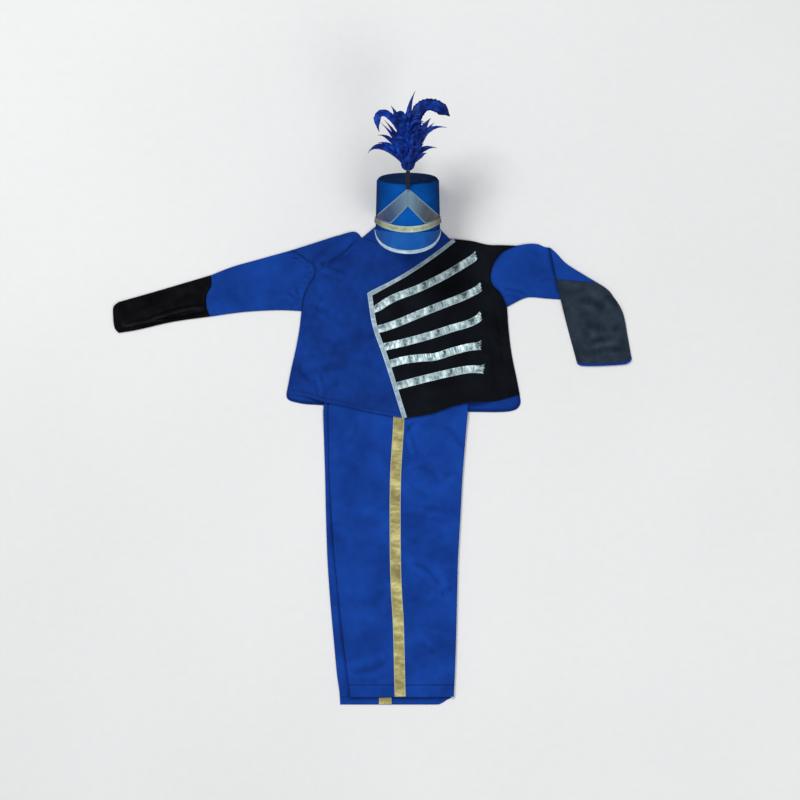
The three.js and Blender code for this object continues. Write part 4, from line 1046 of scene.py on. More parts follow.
def sleeve_right():
    """The right sleeve, laid straight, and its black satin gauntlet."""
    armhole = (right_armhole - (SLEEVE_GAP, 0))[::-1]
    seam = edge_line([(-353, 268), (-353, 243), (-362, 226), (-363, 200), (-355, 177)], 8)
    cuff = edge_line([(-556, 209), (-567, 199), (-568, 175), (-564, 150), (-556, 141)], 8)
    high = edge_line([armhole[0], (-254, 301), (-307, 286), seam[0]], 8)
    low = edge_line([armhole[-1], (-201, 191), (-281, 187), seam[-1]], 8)
    upper = patch(armhole, seam, high, low, SLEEVE_COLUMNS, shares(96))
    start = seam - (SEAM, 0)
    high = edge_line([start[0], (-465, 235), cuff[0]], 7)
    low = edge_line([start[-1], (-439, 165), (-518, 147), cuff[-1]], 7)
    lower = patch(start, cuff, high, low, SLEEVE_COLUMNS, shares(100))
    folds = [(-365, 194, -480, 172, 9, 2.4), (-200, 212, -300, 222, 20, 1.6)]

    def height(x, y):
        return TUBE_HEIGHT + fold_rise(folds, x, y) * 0.7

    def sleeve_extra(x, y):
        pucker = 0.45 * bell(near_line(armhole, x, y) - 11, 7) * ripple(x, y * 2.2, 30, 43)
        fine = creases(SLEEVE_RIGHT_CREASES, x, y) + 0.45 * ripple(x, y, 60, 41)
        return fine + pucker + seam_dip(seam, x, y)

    def gauntlet_extra(x, y):
        return creases(GAUNTLET_RIGHT_CREASES, x, y) + 0.5 * ripple(x, y, 46, 42) + seam_dip(start, x, y)

    def sleeve_top(x, y):
        return height(x, y) + sleeve_extra(x, y)

    def gauntlet_top(x, y):
        return height(x, y) + gauntlet_extra(x, y)

    skin = tube(upper, upper, flat_ground, height, sleeve_extra)
    # Painted shade in the sleeve's creases and a painted shadow along the armhole seam.
    relief = hollows(sleeve_top, [(armhole, 0.8)])
    blue = finish_mesh(
        "sleeve_right_cloth", *skin, sleeve_cloth, "blue_cloth", hollow=relief, node="sleeve_right"
    )
    skin = tube(lower, lower, flat_ground, height, gauntlet_extra)
    # Painted highlights on the gauntlet's satin ridges, painted shade in its hollows and a painted shadow
    # along its seam.
    relief = hollows(gauntlet_top, [(start, 0.95)], gain=4.5)
    black = finish_mesh(
        "gauntlet_right_cloth", *skin, black_satin, "black_satin", hollow=relief, node="gauntlet_right"
    )
    sewn = [lower[-5, 6:-6]]
    rows = stitch_rows(
        "gauntlet_right_stitches", sewn, gauntlet_top, 0.1, black_thread, "black_satin", 2.2, 3.2
    )


# The left sleeve is folded over itself beyond this line
FOLD_ANGLE = math.radians(-37.5)
FOLD_AT = np.array([392.7, 329.0])
FOLD_OUT = np.array([-math.sin(FOLD_ANGLE), math.cos(FOLD_ANGLE)])
FOLD_CENTRE = TUBE_HEIGHT + 0.4
FOLD_NEUTRAL = 2.1
# What is folded over settles to the ground beyond the rest of the sleeve
SETTLE_FROM, SETTLE_OVER, SETTLE_DROP = 208, 60, TUBE_HEIGHT + 0.8
# In plan it is pushed nearer the body, and its outer edge sags a little
PULL_FROM, PULL_OVER, PULL_BY = 340, 50, 7
SAG_MIDDLE_Y, SAG_HALF_LENGTH, SAG_FROM, SAG_OVER, SAG_BY = 296, 45, 395, 55, 10
# The folded edge of the gauntlet bows out a little, and its corner towards the cuff is rounded
BOW_AT, BOW_REACH, BOW_BY = np.array([516.0, 238.0]), 28, 4.2
CORNER_AT, CORNER_REACH, CORNER_PULL = np.array([544.0, 218.0]), 16, np.array([-4.6, -1.8])


def pulled_in(places):
    """Where the folded sleeve's points lie after it is pushed a little nearer the body."""
    x, y = places[:, 0], places[:, 1]
    sag = np.cos(np.clip((y - SAG_MIDDLE_Y) / SAG_HALF_LENGTH, -1, 1) * math.pi / 2) ** 2
    inwards = PULL_BY * smooth((x - PULL_FROM) / PULL_OVER) + SAG_BY * sag * smooth((x - SAG_FROM) / SAG_OVER)
    moved = np.column_stack([x - inwards, y])
    bow = BOW_BY * bell(np.linalg.norm(moved - BOW_AT, axis=1), BOW_REACH)
    corner = bell(np.linalg.norm(moved - CORNER_AT, axis=1), CORNER_REACH)
    return moved + bow[:, None] * FOLD_OUT + corner[:, None] * CORNER_PULL


def folded_over(points, faces, extra):
    """Folds what lies beyond the fold line back over the rest, and lets it settle."""
    mesh = bpy.data.meshes.new("straight")
    mesh.from_pydata(points.tolist(), [], faces)
    cut = bmesh.new()
    cut.from_mesh(mesh)
    bend = math.pi * FOLD_NEUTRAL
    for away in np.linspace(0, bend, 9):
        place = FOLD_AT + FOLD_OUT * away
        geometry = cut.verts[:] + cut.edges[:] + cut.faces[:]
        bmesh.ops.bisect_plane(cut, geom=geometry, dist=1e-4, plane_co=(*place, 0), plane_no=(*FOLD_OUT, 0))
    cut.to_mesh(mesh)
    cut.free()
    p = points_of(mesh)
    faces = [list(f.vertices) for f in mesh.polygons]
    bpy.data.meshes.remove(mesh)
    beyond = (p[:, :2] - FOLD_AT) @ FOLD_OUT
    over = beyond > 0
    turn = np.clip(beyond, 0, bend) / FOLD_NEUTRAL
    radius = FOLD_CENTRE - p[:, 2]
    out = radius * np.sin(turn) - np.maximum(0, beyond - bend) - beyond
    moved = p[:, :2] + out[:, None] * FOLD_OUT
    settled = SETTLE_DROP * smooth((SETTLE_FROM - moved[:, 1]) / SETTLE_OVER) * smooth(turn / math.pi)
    z = FOLD_CENTRE - radius * np.cos(turn) - settled
    top_of_fold = smooth((TUBE_HEIGHT * 0.55 - p[:, 2]) / 0.8) * smooth((turn / math.pi - 0.7) / 0.3)
    now_on_top = np.where(over, top_of_fold, smooth((p[:, 2] - TUBE_HEIGHT * 0.45) / 0.8))
    q = np.column_stack([np.where(over[:, None], moved, p[:, :2]), np.where(over, z, p[:, 2])])
    q[:, :2] = pulled_in(q[:, :2])
    q[:, 2] += extra(q[:, 0], q[:, 1], over) * now_on_top
    return q, faces


def sleeve_left():
    """The left sleeve, its gauntlet and cuff band, made straight and then folded over."""
    armhole = (left_armhole + (SLEEVE_GAP, 0))[::-1]
    seam = edge_line([(469, 334), (513, 215)], 8)
    cuff = edge_line([(655, 336), (660, 331), (682.5, 240), (683, 230), (680.5, 222), (675, 217)], 10)
    high = edge_line([armhole[0], (345, 337), (372, 336), (393, 329), seam[0]], 8)
    low = edge_line([armhole[-1], (329, 214), (345, 219), (415, 215), seam[-1]], 8)
    upper = patch(armhole, seam, high, low, SLEEVE_COLUMNS, shares(52))
    start = seam + (SEAM * 1.3, 0)
    high = edge_line([start[0], (560, 336), cuff[0]], 8)
    low = edge_line([start[-1], (540, 214), (590, 210), (630, 213), cuff[-1]], 8)
    lower = patch(start, cuff, high, low, SLEEVE_COLUMNS, shares(52))
    edge = on_line(cuff, SLEEVE_COLUMNS)
    band = np.stack([edge + (out, 0) for out in np.linspace(SEAM * 1.3, CUFF_BAND, 5)])

    def sleeve_extra(x, y, over):
        return np.where(over, 0.35, 1.0) * (creases(SLEEVE_LEFT_CREASES, x, y) + 0.45 * ripple(x, y, 52, 51))

    def gauntlet_extra(x, y, over):
        return np.where(over, 1.0, 0.0) * (creases(GAUNTLET_LEFT_CREASES, x, y) + 0.5 * ripple(x, y, 48, 52))

    def no_extra(x, _y, _over):
        return np.zeros_like(x)

    # The edge of the forearm, which lies on the upper arm; a shadow is painted along it
    laid_edge = np.array(
        [(389, 333), (393, 312), (398, 294), (402, 274), (405, 258), (407, 246), (409, 232)], float
    )
    sleeve_shadow_lines = [(armhole, 0.95), (laid_edge, 0.95)]
    made, sizes = [], []
    for name, grid, extra, material, slot, node, shadow_lines in (
        ("sleeve_left_cloth", upper, sleeve_extra, folded_cloth, "blue_cloth", "sleeve_left", sleeve_shadow_lines),
        ("gauntlet_left_cloth", lower, gauntlet_extra, satin_with_painted_sheen, "black_satin", "gauntlet_left", []),
        ("cuff_band_cloth", band, no_extra, blue_cloth, "blue_cloth", "cuff_band_left", []),
    ):
        skin = folded_over(*tube(grid, grid, flat_ground, level(TUBE_HEIGHT)), extra)
        # Painted shade in the creases and painted shadows along the given lines.
        relief = hollows(lambda x, y: extra(x, y, True) * 1.5, shadow_lines, half=3.2)
        made.append(finish_mesh(name, *skin, material, slot, hollow=relief, node=node))
        area = 2 * sheet_area(grid)
        long = float(np.linalg.norm(np.diff(grid[:, grid.shape[1] // 2], axis=0), axis=1).sum()) * MM
        ring = float((np.linalg.norm(np.diff(grid, axis=1), axis=2).sum(1) * 2).max()) * MM
        sizes.append(((max(ring, area / long * 1.002), long), area))


# The trouser legs: how far up, and the two sides of the upper and of the under leg
LEG_TABLE = [
    (40, -84, 196, -92, 190),
    (-15, -96, 214, -107, 208),
    (-51, -96, 210, -106, 204),
    (-112, -95, 205, -104, 199),
    (-174, -94, 200, -102, 194),
    (-271, -88, 195, -100, 189),
    (-359, -82, 190, -97, 184),
    (-447, -73, 188, -91, 182),
    (-535, -63, 186, -83, 180),
    (-623, -52, 183, -75, 177),
    (-659, -48, 181, -68, 175),
]
TROUSER_HEM = -633
UNDER_HEM = -676.5
CORNER_CUT = 14
WAISTBAND_SIDES, WAISTBAND_ENDS = (-86, 192), (40.3, 64)


def trouser_base(_x, y):
    return BACK_TOP * smooth((y + 92) / 50)


def upper_leg_base(x, y):
    return trouser_base(x, y) + UNDER_LEG_TOP


def leg_top(x, y):
    """The top of the upper trouser leg, away from its folded edges."""
    below = smooth((-40 - y) / 30)
    fine = 1.25 * creases(LEG_CREASES, x, y) + 0.8 * ripple(x, y, 90, 61) + 0.3 * ripple(x, y, 30, 62)
    hem = -0.7 * bell(y - TROUSER_HEM, 1.6)
    return upper_leg_base(x, y) + TUBE_HEIGHT + (fold_rise(LEG_FOLDS, x, y) + fine) * below + hem


def leg_height(x, y):
    return leg_top(x, y) - upper_leg_base(x, y)


def leg_edges(ys):
    """The legs' sides at each height, as smooth lines between the table's rows."""
    table = np.array(LEG_TABLE, float)
    kernel = np.ones(15) / 15
    for column in (1, 2, 3, 4):
        edge = np.interp(-ys, -table[:, 0], table[:, column])
        padded = np.concatenate([np.full(7, edge[0]), edge, np.full(7, edge[-1])])
        yield np.convolve(padded, kernel, "valid")


def rows_between(left, right, ys, columns):
    """A grid of level rows between two sides."""
    rows = [np.column_stack([mix(a, b, columns), 0 * columns + y]) for a, b, y in zip(left, right, ys)]
    return np.stack(rows)


def trousers():
    """The two legs, laid one on the other, and the waistband under the jacket."""
    ys = np.concatenate([np.linspace(40, -654, 230), [-657, -659]])
    left, right, under_left, under_right = leg_edges(ys)
    low_columns = tube_columns(280, 30)
    over = rows_between(left, right, ys, tube_columns(280, 78))
    some = list(range(0, 225, 8)) + list(range(226, 232))
    low = rows_between(under_left[some], under_right[some], ys[some], low_columns)
    longer = low.copy()
    under_end = UNDER_HEM + CORNER_CUT * smooth((low_columns - 0.88) / 0.12)
    for k in range(5):
        longer[-5 + k, :, 1] = mix(low[-6, :, 1], under_end, (k + 1) / 5)
    side = np.column_stack([left, ys])
    hem_line, under_hem = (
        on_line(np.array(ends, float), shares(90))
        for ends in ([(-48, TROUSER_HEM), (182, TROUSER_HEM)], [(-48, -662), (181, -662)])
    )
    # Painted shade in the upper leg's creases, a painted shadow along its left edge and a faint painted
    # shadow along its hem.
    relief = hollows(leg_top, [(side, 0.95), (hem_line, 0.3)], half=1.7)
    skin = tube(over, over, upper_leg_base, leg_height)
    top_leg = finish_mesh(
        "leg_left_cloth", *skin, trouser_cloth, "blue_cloth", hollow=relief, node="leg_left"
    )
    # Painted shadow on the under leg beside the upper leg's edge and along the under leg's hem.
    relief = hollows(flat_ground, [(beside(side, 1), 0.95), (under_hem, 0.95)], half=3)
    skin = tube(low, longer, trouser_base, level(TUBE_HEIGHT - 0.15))
    low_leg = finish_mesh(
        "leg_right_cloth", *skin, trouser_cloth, "blue_cloth", hollow=relief, node="leg_right"
    )
    heights = np.linspace(*WAISTBAND_ENDS, 8)
    ends = ([end] * len(heights) for end in WAISTBAND_SIDES)
    band = rows_between(*ends, heights, tube_columns(270, 30))
    skin = tube(band, band, level(BACK_TOP), level(2 * TUBE_HEIGHT))
    waist = finish_mesh("waistband_cloth", *skin, trouser_cloth, "blue_cloth", node="waistband")
    hem = np.column_stack([np.linspace(-44, 178, 120), np.full(120, float(TROUSER_HEM))])
    sewn = [hem[:50], hem[66:]]
    rows = stitch_rows("trouser_hem_stitches", sewn, leg_top, 0.1, blue_thread, "blue_cloth")
    sewn = [np.column_stack([left[14:-4] + 5, ys[14:-4]])]
    more = stitch_rows(
        "trouser_seam_stitches", sewn, leg_top, 0.1, blue_thread, "blue_cloth", 2.2, 3.4, 0.4, 0.4
    )


STRIPE_HALF = 12
STRIPE_LINE = [(62, 36), (60, -51), (53, -174), (52, -300), (54, -410), (59, -500), (62, -623), (63, -658)]
STRIPE_END_HALF = 7.2


def stripes():
    """The gold ribbon of the left leg, and the turned-in end of the right leg's."""
    line = fine_line(STRIPE_LINE, 2.6)
    grid = ribbon_grid(line, STRIPE_HALF, 10)
    piece = ribbon_piece(
        "stripe_left_ribbon", grid, line, STRIPE_HALF, gold, "gold_ribbon", 0.5, 71, leg_top, "stripe_left"
    )
    sides = [side[18:] for side in both_sides(line, STRIPE_HALF - 1.6)]
    rows = stitch_rows("stripe_stitches", sides, leg_top, 1.1, gold_thread, "gold_ribbon", 2.8, 4.2)
    line = np.column_stack([np.linspace(16.5, 44, 14), np.linspace(-668.7, -668, 14)])
    grid = ribbon_grid(line, STRIPE_END_HALF, 6)
    end = ribbon_piece(
        "stripe_right_end_ribbon", grid, line, STRIPE_END_HALF, gold, "gold_ribbon",
        0.25, 72, level(CLOTH + 0.02), "stripe_right_end", 0.28,
    )


collar()
sleeve_right()
sleeve_left()
trousers()
stripes()


# The shako, modelled upright with its front towards -Y, and then laid on its back

HAT_X, HAT_REAR_Y = 79.7, 382.5
HAT_HEIGHT, HAT_WALL = 104.5, 2.5
BASE_HALF = (70.0, 89.0)
TOP_HALF = (67.5, 98.5)
TOP_SHIFT = -9.5
REAR_FLAT = math.cos(math.pi / 28)
REAR_FOOT = -BASE_HALF[1] * REAR_FLAT
REAR_HEAD = TOP_SHIFT - TOP_HALF[1] * REAR_FLAT
LEAN = math.atan2(REAR_FOOT - REAR_HEAD, HAT_HEIGHT)
SIN, COS = math.sin(LEAN), math.cos(LEAN)
HAT_PLACE = np.array([HAT_X, HAT_REAR_Y + REAR_FOOT * SIN, -REAR_FOOT * COS])
# The crown's top edge slants down a little to the front and is rounded over
TOP_SLOPE = 0.028 * HAT_HEIGHT / TOP_HALF[1]
SHOULDER = 4.5
SHOULDER_TURNS = (0, 18, 36, 54, 72, 90)
CROWN_SIDES = 112
CROWN_LEVELS = (0, 0.015, 0.12, 0.3, 0.5, 0.7, 0.88, 0.95, 1.05)


def crown_point(turn, level, inset=0.0):
    """A point on the crown: across, up and to the front."""
    half_width, half_depth = (mix(base, top, level) - inset for base, top in zip(BASE_HALF, TOP_HALF))
    across = half_width * np.sin(turn)
    front = TOP_SHIFT * level + half_depth * np.cos(turn)
    return np.stack(np.broadcast_arrays(across, HAT_HEIGHT * level, front), axis=-1)


def laid(points):
    """Points of the shako, across, up and front, at their place in the layout."""
    x, up, front = np.moveaxis(np.asarray(points, float), -1, 0)
    return np.stack([x, up * COS - front * SIN, up * SIN + front * COS], axis=-1) + HAT_PLACE


def lay_piece(piece):
    """Turns a piece that was modelled upright to its place on the ground."""
    upright = points_of(piece.data) / MM
    turned = laid(np.column_stack([upright[:, 0], upright[:, 2], -upright[:, 1]]))
    turned[:, 2] = np.maximum(turned[:, 2], 0)
    piece.data.vertices.foreach_set("co", ((turned + MIDDLE) * MM).ravel())
    piece.data.update()


def edit(piece):
    """Opens a piece in edit mode with all of it selected."""
    select_only(piece)
    bpy.ops.object.mode_set(mode="EDIT")
    bpy.ops.mesh.select_all(action="SELECT")


def extrude(y, z):
    """Draws out what is selected, in millimetres."""
    bpy.ops.mesh.extrude_region_move(TRANSFORM_OT_translate={"value": (0, y * MM, z * MM)})


def resize(x, y, centre_y=0.0, centre_z=0.0, z=1):
    """Scales what is selected about a point on the shako's middle line."""
    bpy.ops.transform.resize(value=(x, y, z), center_override=(0, centre_y * MM, centre_z * MM))


def thicken(piece, thickness):
    """Gives a shell its thickness, to the inside."""
    shell = piece.modifiers.new("wall", "SOLIDIFY")
    shell.thickness = thickness * MM
    shell.offset = -1
    shell.use_even_offset = True


def bevel(piece, width):
    """Rounds a piece's edges."""
    edge = piece.modifiers.new("edge", "BEVEL")
    edge.width = width * MM
    edge.segments = 2
    edge.limit_method = "ANGLE"


def done(piece, name, material, nodes=(), smooth_angle=40):
    """Leaves edit mode, applies the modifiers, lays the piece down and dresses it."""
    if bpy.context.mode != "OBJECT":
        bpy.ops.object.mode_set(mode="OBJECT")
    piece.name = piece.data.name = name
    select_only(piece)
    fix_place()
    for modifier in list(piece.modifiers):
        bpy.ops.object.modifier_apply(modifier=modifier.name)
    lay_piece(piece)
    dress(piece, material, smooth_angle)
    if nodes:
        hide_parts(*nodes)


def shell_cover_and_painted_shade(name, dark, light, roughness, gloss, turned):
    """The shako's smooth cover: fine weave, faint lighter streaks, a painted shade that deepens as the wall
    turns away to the sides, and a painted shade that deepens towards the shako's top.
    """
    n = Nodes(name)
    where = n.coordinates("Object")
    patches = n.noise(where, 0.03, 3.0)
    weave = n.wave(n.coordinates("Object", turn=0.2), 0.0008, "DIAGONAL", 0.4)
    streaks = n.noise(n.coordinates("Object", scale=(6, 1, 1)), 0.05, 5.0)
    colour = n.ramp(patches, [(0.3, dark), (0.7, light)])
    # Faint lighter streaks on the cover.
    streaked = n.math("MULTIPLY", n.math("GREATER_THAN", streaks, 0.66), 0.25)
    colour = n.blend(streaked, colour, (0.008, 0.10, 0.38))
    # Painted shade: the cover darkens towards the shako's sides, to the share given as turned at its widest.
    x, y = n.apart(where)
    aside = n.math("ABSOLUTE", n.math("SUBTRACT", x, (HAT_X + MIDDLE[0]) * MM), 0)
    aside = n.math("MULTIPLY", aside, 1 / (BASE_HALF[0] * MM))
    shade = n.ramp(aside, [(0.45, (1, 1, 1)), (0.8, (0.66, 0.69, 0.72)), (1.0, (turned, turned, turned))])
    colour = n.blend(1.0, colour, shade, "MULTIPLY")
    # Painted shade: the cover darkens towards the shako's top.
    up = n.math("MULTIPLY", n.math("SUBTRACT", y, (HAT_REAR_Y + MIDDLE[1]) * MM), 1 / (HAT_HEIGHT * MM))
    colour = n.blend(1.0, colour, n.ramp(up, [(0.0, (1, 1, 1)), (1.0, (0.62, 0.68, 0.74))]), "MULTIPLY")
    normal = n.bump(weave, 0.0001, 0.5, n.bump(patches, 0.0012, 0.4))
    return n.surface(colour, n.scaled(patches, 0.2, roughness), normal, Specular_IOR_Level=gloss)


def plastic(name, colour, roughness):
    """Hard plastic with fine marks."""
    n = Nodes(name)
    marks = n.noise(n.coordinates("Object"), 0.003, 4.0)
    shade = n.ramp(marks, [(0.3, tuple(c * 0.7 for c in colour)), (0.7, colour)])
    rough = n.scaled(marks, 0.2, roughness)
    return n.surface(shade, rough, n.bump(marks, 0.0002, 0.4), Specular_IOR_Level=0.2)


shako_cover = shell_cover_and_painted_shade("shako_cover", (0.0022, 0.072, 0.33), (0.0040, 0.098, 0.42), 0.55, 0.006, 0.2)
visor_cover = shell_cover_and_painted_shade("shako_visor_cover", (0.0055, 0.082, 0.34), (0.010, 0.105, 0.41), 0.48, 0.08, 0.6)
shako_top_cover = shell_cover_and_painted_shade(
    "shako_top_cover", (0.003, 0.018, 0.070), (0.005, 0.030, 0.108), 0.7, 0.004, 0.7
)
dark_plastic = plastic("dark_plastic", (0.010, 0.010, 0.014), 0.4)


def crown():
    """The crown's wall: an oval drawn up level by level, cut on a slant and rounded over at its top."""
    select_only()
    bpy.ops.mesh.primitive_circle_add(vertices=CROWN_SIDES, radius=1, fill_type="NOTHING")
    piece = bpy.context.object
    edit(piece)
    resize(BASE_HALF[0] * MM, BASE_HALF[1] * MM)
    for before, level in zip(CROWN_LEVELS, CROWN_LEVELS[1:]):
        extrude(-TOP_SHIFT * (level - before), HAT_HEIGHT * (level - before))
        grow = [mix(b, t, level) / mix(b, t, before) for b, t in zip(BASE_HALF, TOP_HALF)]
        resize(*grow, -TOP_SHIFT * level, HAT_HEIGHT * level)
    cut = (HAT_HEIGHT - SHOULDER) * MM
    bpy.ops.mesh.select_all(action="SELECT")
    bpy.ops.mesh.bisect(plane_co=(0, -TOP_SHIFT * MM, cut), plane_no=(0, -TOP_SLOPE, 1), clear_outer=True)
    bpy.ops.object.mode_set(mode="OBJECT")
    for edge in piece.data.edges:
        ends = [piece.data.vertices[v].co for v in edge.vertices]
        edge.select = all(abs(p.z - cut - TOP_SLOPE * (p.y + TOP_SHIFT * MM)) < 0.02 * MM for p in ends)
    for face in piece.data.polygons:
        face.select = False
    bpy.ops.object.mode_set(mode="EDIT")
    bpy.ops.mesh.select_mode(type="EDGE")
    turns = [math.radians(a) for a in SHOULDER_TURNS]
    for before, turn in zip(turns, turns[1:]):
        extrude(0, SHOULDER * (math.sin(turn) - math.sin(before)))
        inset = [SHOULDER * (1 - math.cos(a)) for a in (before, turn)]
        resize(*((half - inset[1]) / (half - inset[0]) for half in TOP_HALF), -TOP_SHIFT, HAT_HEIGHT)
    bpy.ops.mesh.select_all(action="SELECT")
    bpy.ops.mesh.normals_make_consistent(inside=False)
    thicken(piece, HAT_WALL)
    done(piece, "shako_crown_wall", shako_cover, ["shako_crown"])


def slanted(piece):
    """Slants a flat piece on the crown's top as its edge slants."""
    bpy.ops.object.mode_set(mode="OBJECT")
    for vertex in piece.data.vertices:
        vertex.co.z += TOP_SLOPE * (vertex.co.y + TOP_SHIFT * MM)


# The crown's top rises in rings: how wide each is, and its step up from the last
TOP_RINGS = [(0.98, 0.8), (0.8, 1.0), (0.6, 0.9), (0.4, 0.7), (0.2, 0.4), (0.06, 0.1)]


def crown_top():
    """The slightly domed top, and the piping round it."""
    select_only()
    top = HAT_HEIGHT + SEAM
    bpy.ops.mesh.primitive_circle_add(
        vertices=CROWN_SIDES, radius=1, fill_type="NGON", location=(0, -TOP_SHIFT * MM, top * MM)
    )
    piece = bpy.context.object
    fix_place()
    edit(piece)
    resize(*((half - SHOULDER + 0.8) * MM for half in TOP_HALF), -TOP_SHIFT, top)
    bpy.ops.mesh.select_mode(type="FACE")
    extrude(0, 1.5)
    before = 1
    for share, rise in TOP_RINGS:
        extrude(0, rise)
        resize(share / before, share / before, -TOP_SHIFT, top)
        before = share
    bpy.ops.mesh.poke()
    slanted(piece)
    done(piece, "shako_top_disc", shako_top_cover, ["shako_top"])
    select_only()
    bpy.ops.mesh.primitive_torus_add(
        major_segments=CROWN_SIDES, minor_segments=10, major_radius=1, minor_radius=0.011, location=(0, 0, 0)
    )
    piping = bpy.context.object
    edit(piping)
    resize(*((half - SHOULDER + 0.6) * MM for half in TOP_HALF), z=80 * MM)
    bpy.ops.transform.translate(value=(0, -TOP_SHIFT * MM, (HAT_HEIGHT + 0.5) * MM))
    slanted(piping)
    done(piping, "shako_top_piping", shako_cover)


VISOR_REACH, VISOR_DROP, VISOR_SIDE_DROP, VISOR_SPREAD = 29, 42, 8, 78
EDGING_WIDTH = 8.2


def visor_rounding(across):
    return np.clip(np.cos(across * math.pi / 2), 0, 1) ** 0.62


def visor_point(across, outwards, lift):
    """A point on the visor, from side to side and from the crown outwards."""
    turn = np.radians(across * VISOR_SPREAD)
    place = crown_point(turn, 0 * turn, -0.6 - lift)
    rounding = visor_rounding(across)
    down = -0.4 - outwards * mix(VISOR_SIDE_DROP, VISOR_DROP, rounding)
    front = place[..., 2] + outwards * VISOR_REACH * rounding + lift * 0.3
    return np.stack([place[..., 0] * mix(1, 0.985, outwards), down + lift * 0.55 * rounding, front], axis=-1)


def shaped_grid(name, columns, rows, place, material, node, thickness, uv=None):
    """A grid whose points are set by their two shares, given a thickness and laid down."""
    select_only()
    bpy.ops.mesh.primitive_grid_add(x_subdivisions=columns, y_subdivisions=rows, size=2)
    piece = bpy.context.object
    u, v, _ = (points_of(piece.data).T + 1) / 2
    placed = place(u, v)
    placed = np.column_stack([placed[:, 0], -placed[:, 2], placed[:, 1]])
    piece.data.vertices.foreach_set("co", (placed * MM).ravel())
    if uv is not None:
        map_points(piece.data, uv(u, v))
    piece.data.update()
    edit(piece)
    bpy.ops.mesh.normals_make_consistent(inside=False)
    bpy.ops.object.mode_set(mode="OBJECT")
    if piece.data.polygons[len(piece.data.polygons) // 2].normal.y > 0:
        piece.data.flip_normals()
    thicken(piece, thickness)
    done(piece, name, material, [node], 45)


def strip_map(length, width):
    """The map of a ribbon of this length and width."""
    return lambda u, v: np.column_stack([u * length, (v - 0.5) * width])


def visor():
    """The visor's shell and the silver edging round it."""

    def shell(u, v):
        return visor_point(u * 2 - 1, v, 2.0 + 0 * u)

    def edging(u, v):
        rounding = visor_rounding(u * 2 - 1)
        depth = np.hypot(mix(VISOR_SIDE_DROP, VISOR_DROP, rounding), VISOR_REACH * rounding)
        out = mix(np.maximum(0.06, 1 - EDGING_WIDTH / depth), 1.006, v)
        return visor_point(u * 2 - 1, out, 2.4 + 1.0 * np.sqrt(np.clip(1 - (2 * v - 1) ** 2, 0, 1)))

    shaped_grid("shako_visor_shell", 84, 14, shell, visor_cover, "shako_visor", 2.0)
    around = strip_map(230, 9)
    shaped_grid(
        "visor_edging_ribbon", 120, 8, edging, visor_silver, "visor_edging", 0.7, around
    )


VISOR_TONES = ((0.32, 0.44, 0.55), (0.42, 0.56, 0.68), (0.52, 0.68, 0.79))
visor_silver = metal_ribbon("visor_silver_ribbon", VISOR_TONES, (0.50, 0.64, 0.76), 9, 1.0, 0.2, gloss=0.2)
BAND_TONES = ((0.27, 0.29, 0.17), (0.39, 0.44, 0.29), (0.55, 0.57, 0.33))
BAND_ENDS = ((0.070, 0.054, 0.030), 117.5, 44, 46)
band_gold = metal_ribbon(
    "shako_gold_ribbon", BAND_TONES, (0.46, 0.58, 0.56), 13, 3.0, 0.25, 0.034, BAND_ENDS, 0.08, 0.15
)
LEFT_TONES = ((0.030, 0.044, 0.070), (0.050, 0.062, 0.085), (0.090, 0.100, 0.110))
RIGHT_TONES = ((0.020, 0.040, 0.110), (0.030, 0.052, 0.135), (0.052, 0.074, 0.150))
APEX = ((0.17, 0.29, 0.38), 92, 26, 66)
CHEVRON_EDGE = (0.22, 0.34, 0.44)
sheer_left, sheer_right = (
    metal_ribbon(name, tones, CHEVRON_EDGE, 30, 2.2, 0.1, 0.045, APEX, 0.08, 0.0)
    for name, tones in (("sheer_silver_left", LEFT_TONES), ("sheer_silver_right", RIGHT_TONES))
)
BAND_LOW, BAND_HIGH, BAND_RISE, BAND_SPREAD = 0.6, 13.6, 12.5, 85


def band():
    """The gold band, which follows the crown and rises to its sides."""

    def place(u, v):
        turn = np.radians(mix(-BAND_SPREAD, BAND_SPREAD, u))
        up = mix(BAND_LOW, BAND_HIGH, v) + BAND_RISE * np.sin(turn) ** 2
        waves = 0.35 * (np.sin(u * 61) + np.sin(u * 37 + v * 2)) * np.sin(np.pi * np.clip(v, 0, 1))
        return crown_point(turn, up / HAT_HEIGHT, -1.3 - np.maximum(waves, -0.2))

    around = strip_map(235, 13)
    shaped_grid("shako_gold_band", 150, 8, place, band_gold, "shako_band", 0.8, around)


# One leg of the chevron, from its peak: the share of its length, its outer edge and its inner edge
CHEVRON = [
    (0, 0.3, 95.3, 0.3, 56.3),
    (0.24, 17, 80.5, 12, 44.2),
    (0.48, 34.3, 64.7, 24, 31.6),
    (0.72, 51.6, 47.8, 37, 17.8),
    (0.9, 62.6, 36.1, 52, 21.4),
    (1, 67.2, 29.8, 65, 25.2),
]


def chevron(side, name, node, sheer_silver):
    """One leg of the sheer silver chevron."""
    runs, *edges = np.array(CHEVRON, float).T

    def place(u, v):
        outer_x, outer_y, inner_x, inner_y = (np.interp(u, runs, edge) for edge in edges)
        x, y = mix(outer_x, inner_x, v), mix(outer_y, inner_y, v)
        gap = 1.5 + 0.25 * np.sin(u * 9 + v * 3) * np.sin(np.pi * v) + 0.3 * bell(u, 0.12)
        half = mix(BASE_HALF[0], TOP_HALF[0], y / HAT_HEIGHT) + gap
        turn = np.arcsin(np.clip(x / half, -1, 1)) * side
        return crown_point(turn, y / HAT_HEIGHT, -gap)

    shaped_grid(name, 60, 12, place, sheer_silver, node, 0.5, strip_map(92, 30))


# The button's face: each ring is set in by the first value and pushed out by the second
BUTTON_RINGS = [(0.7, 0.9), (1.3, -0.5), (1.2, 0.7)]


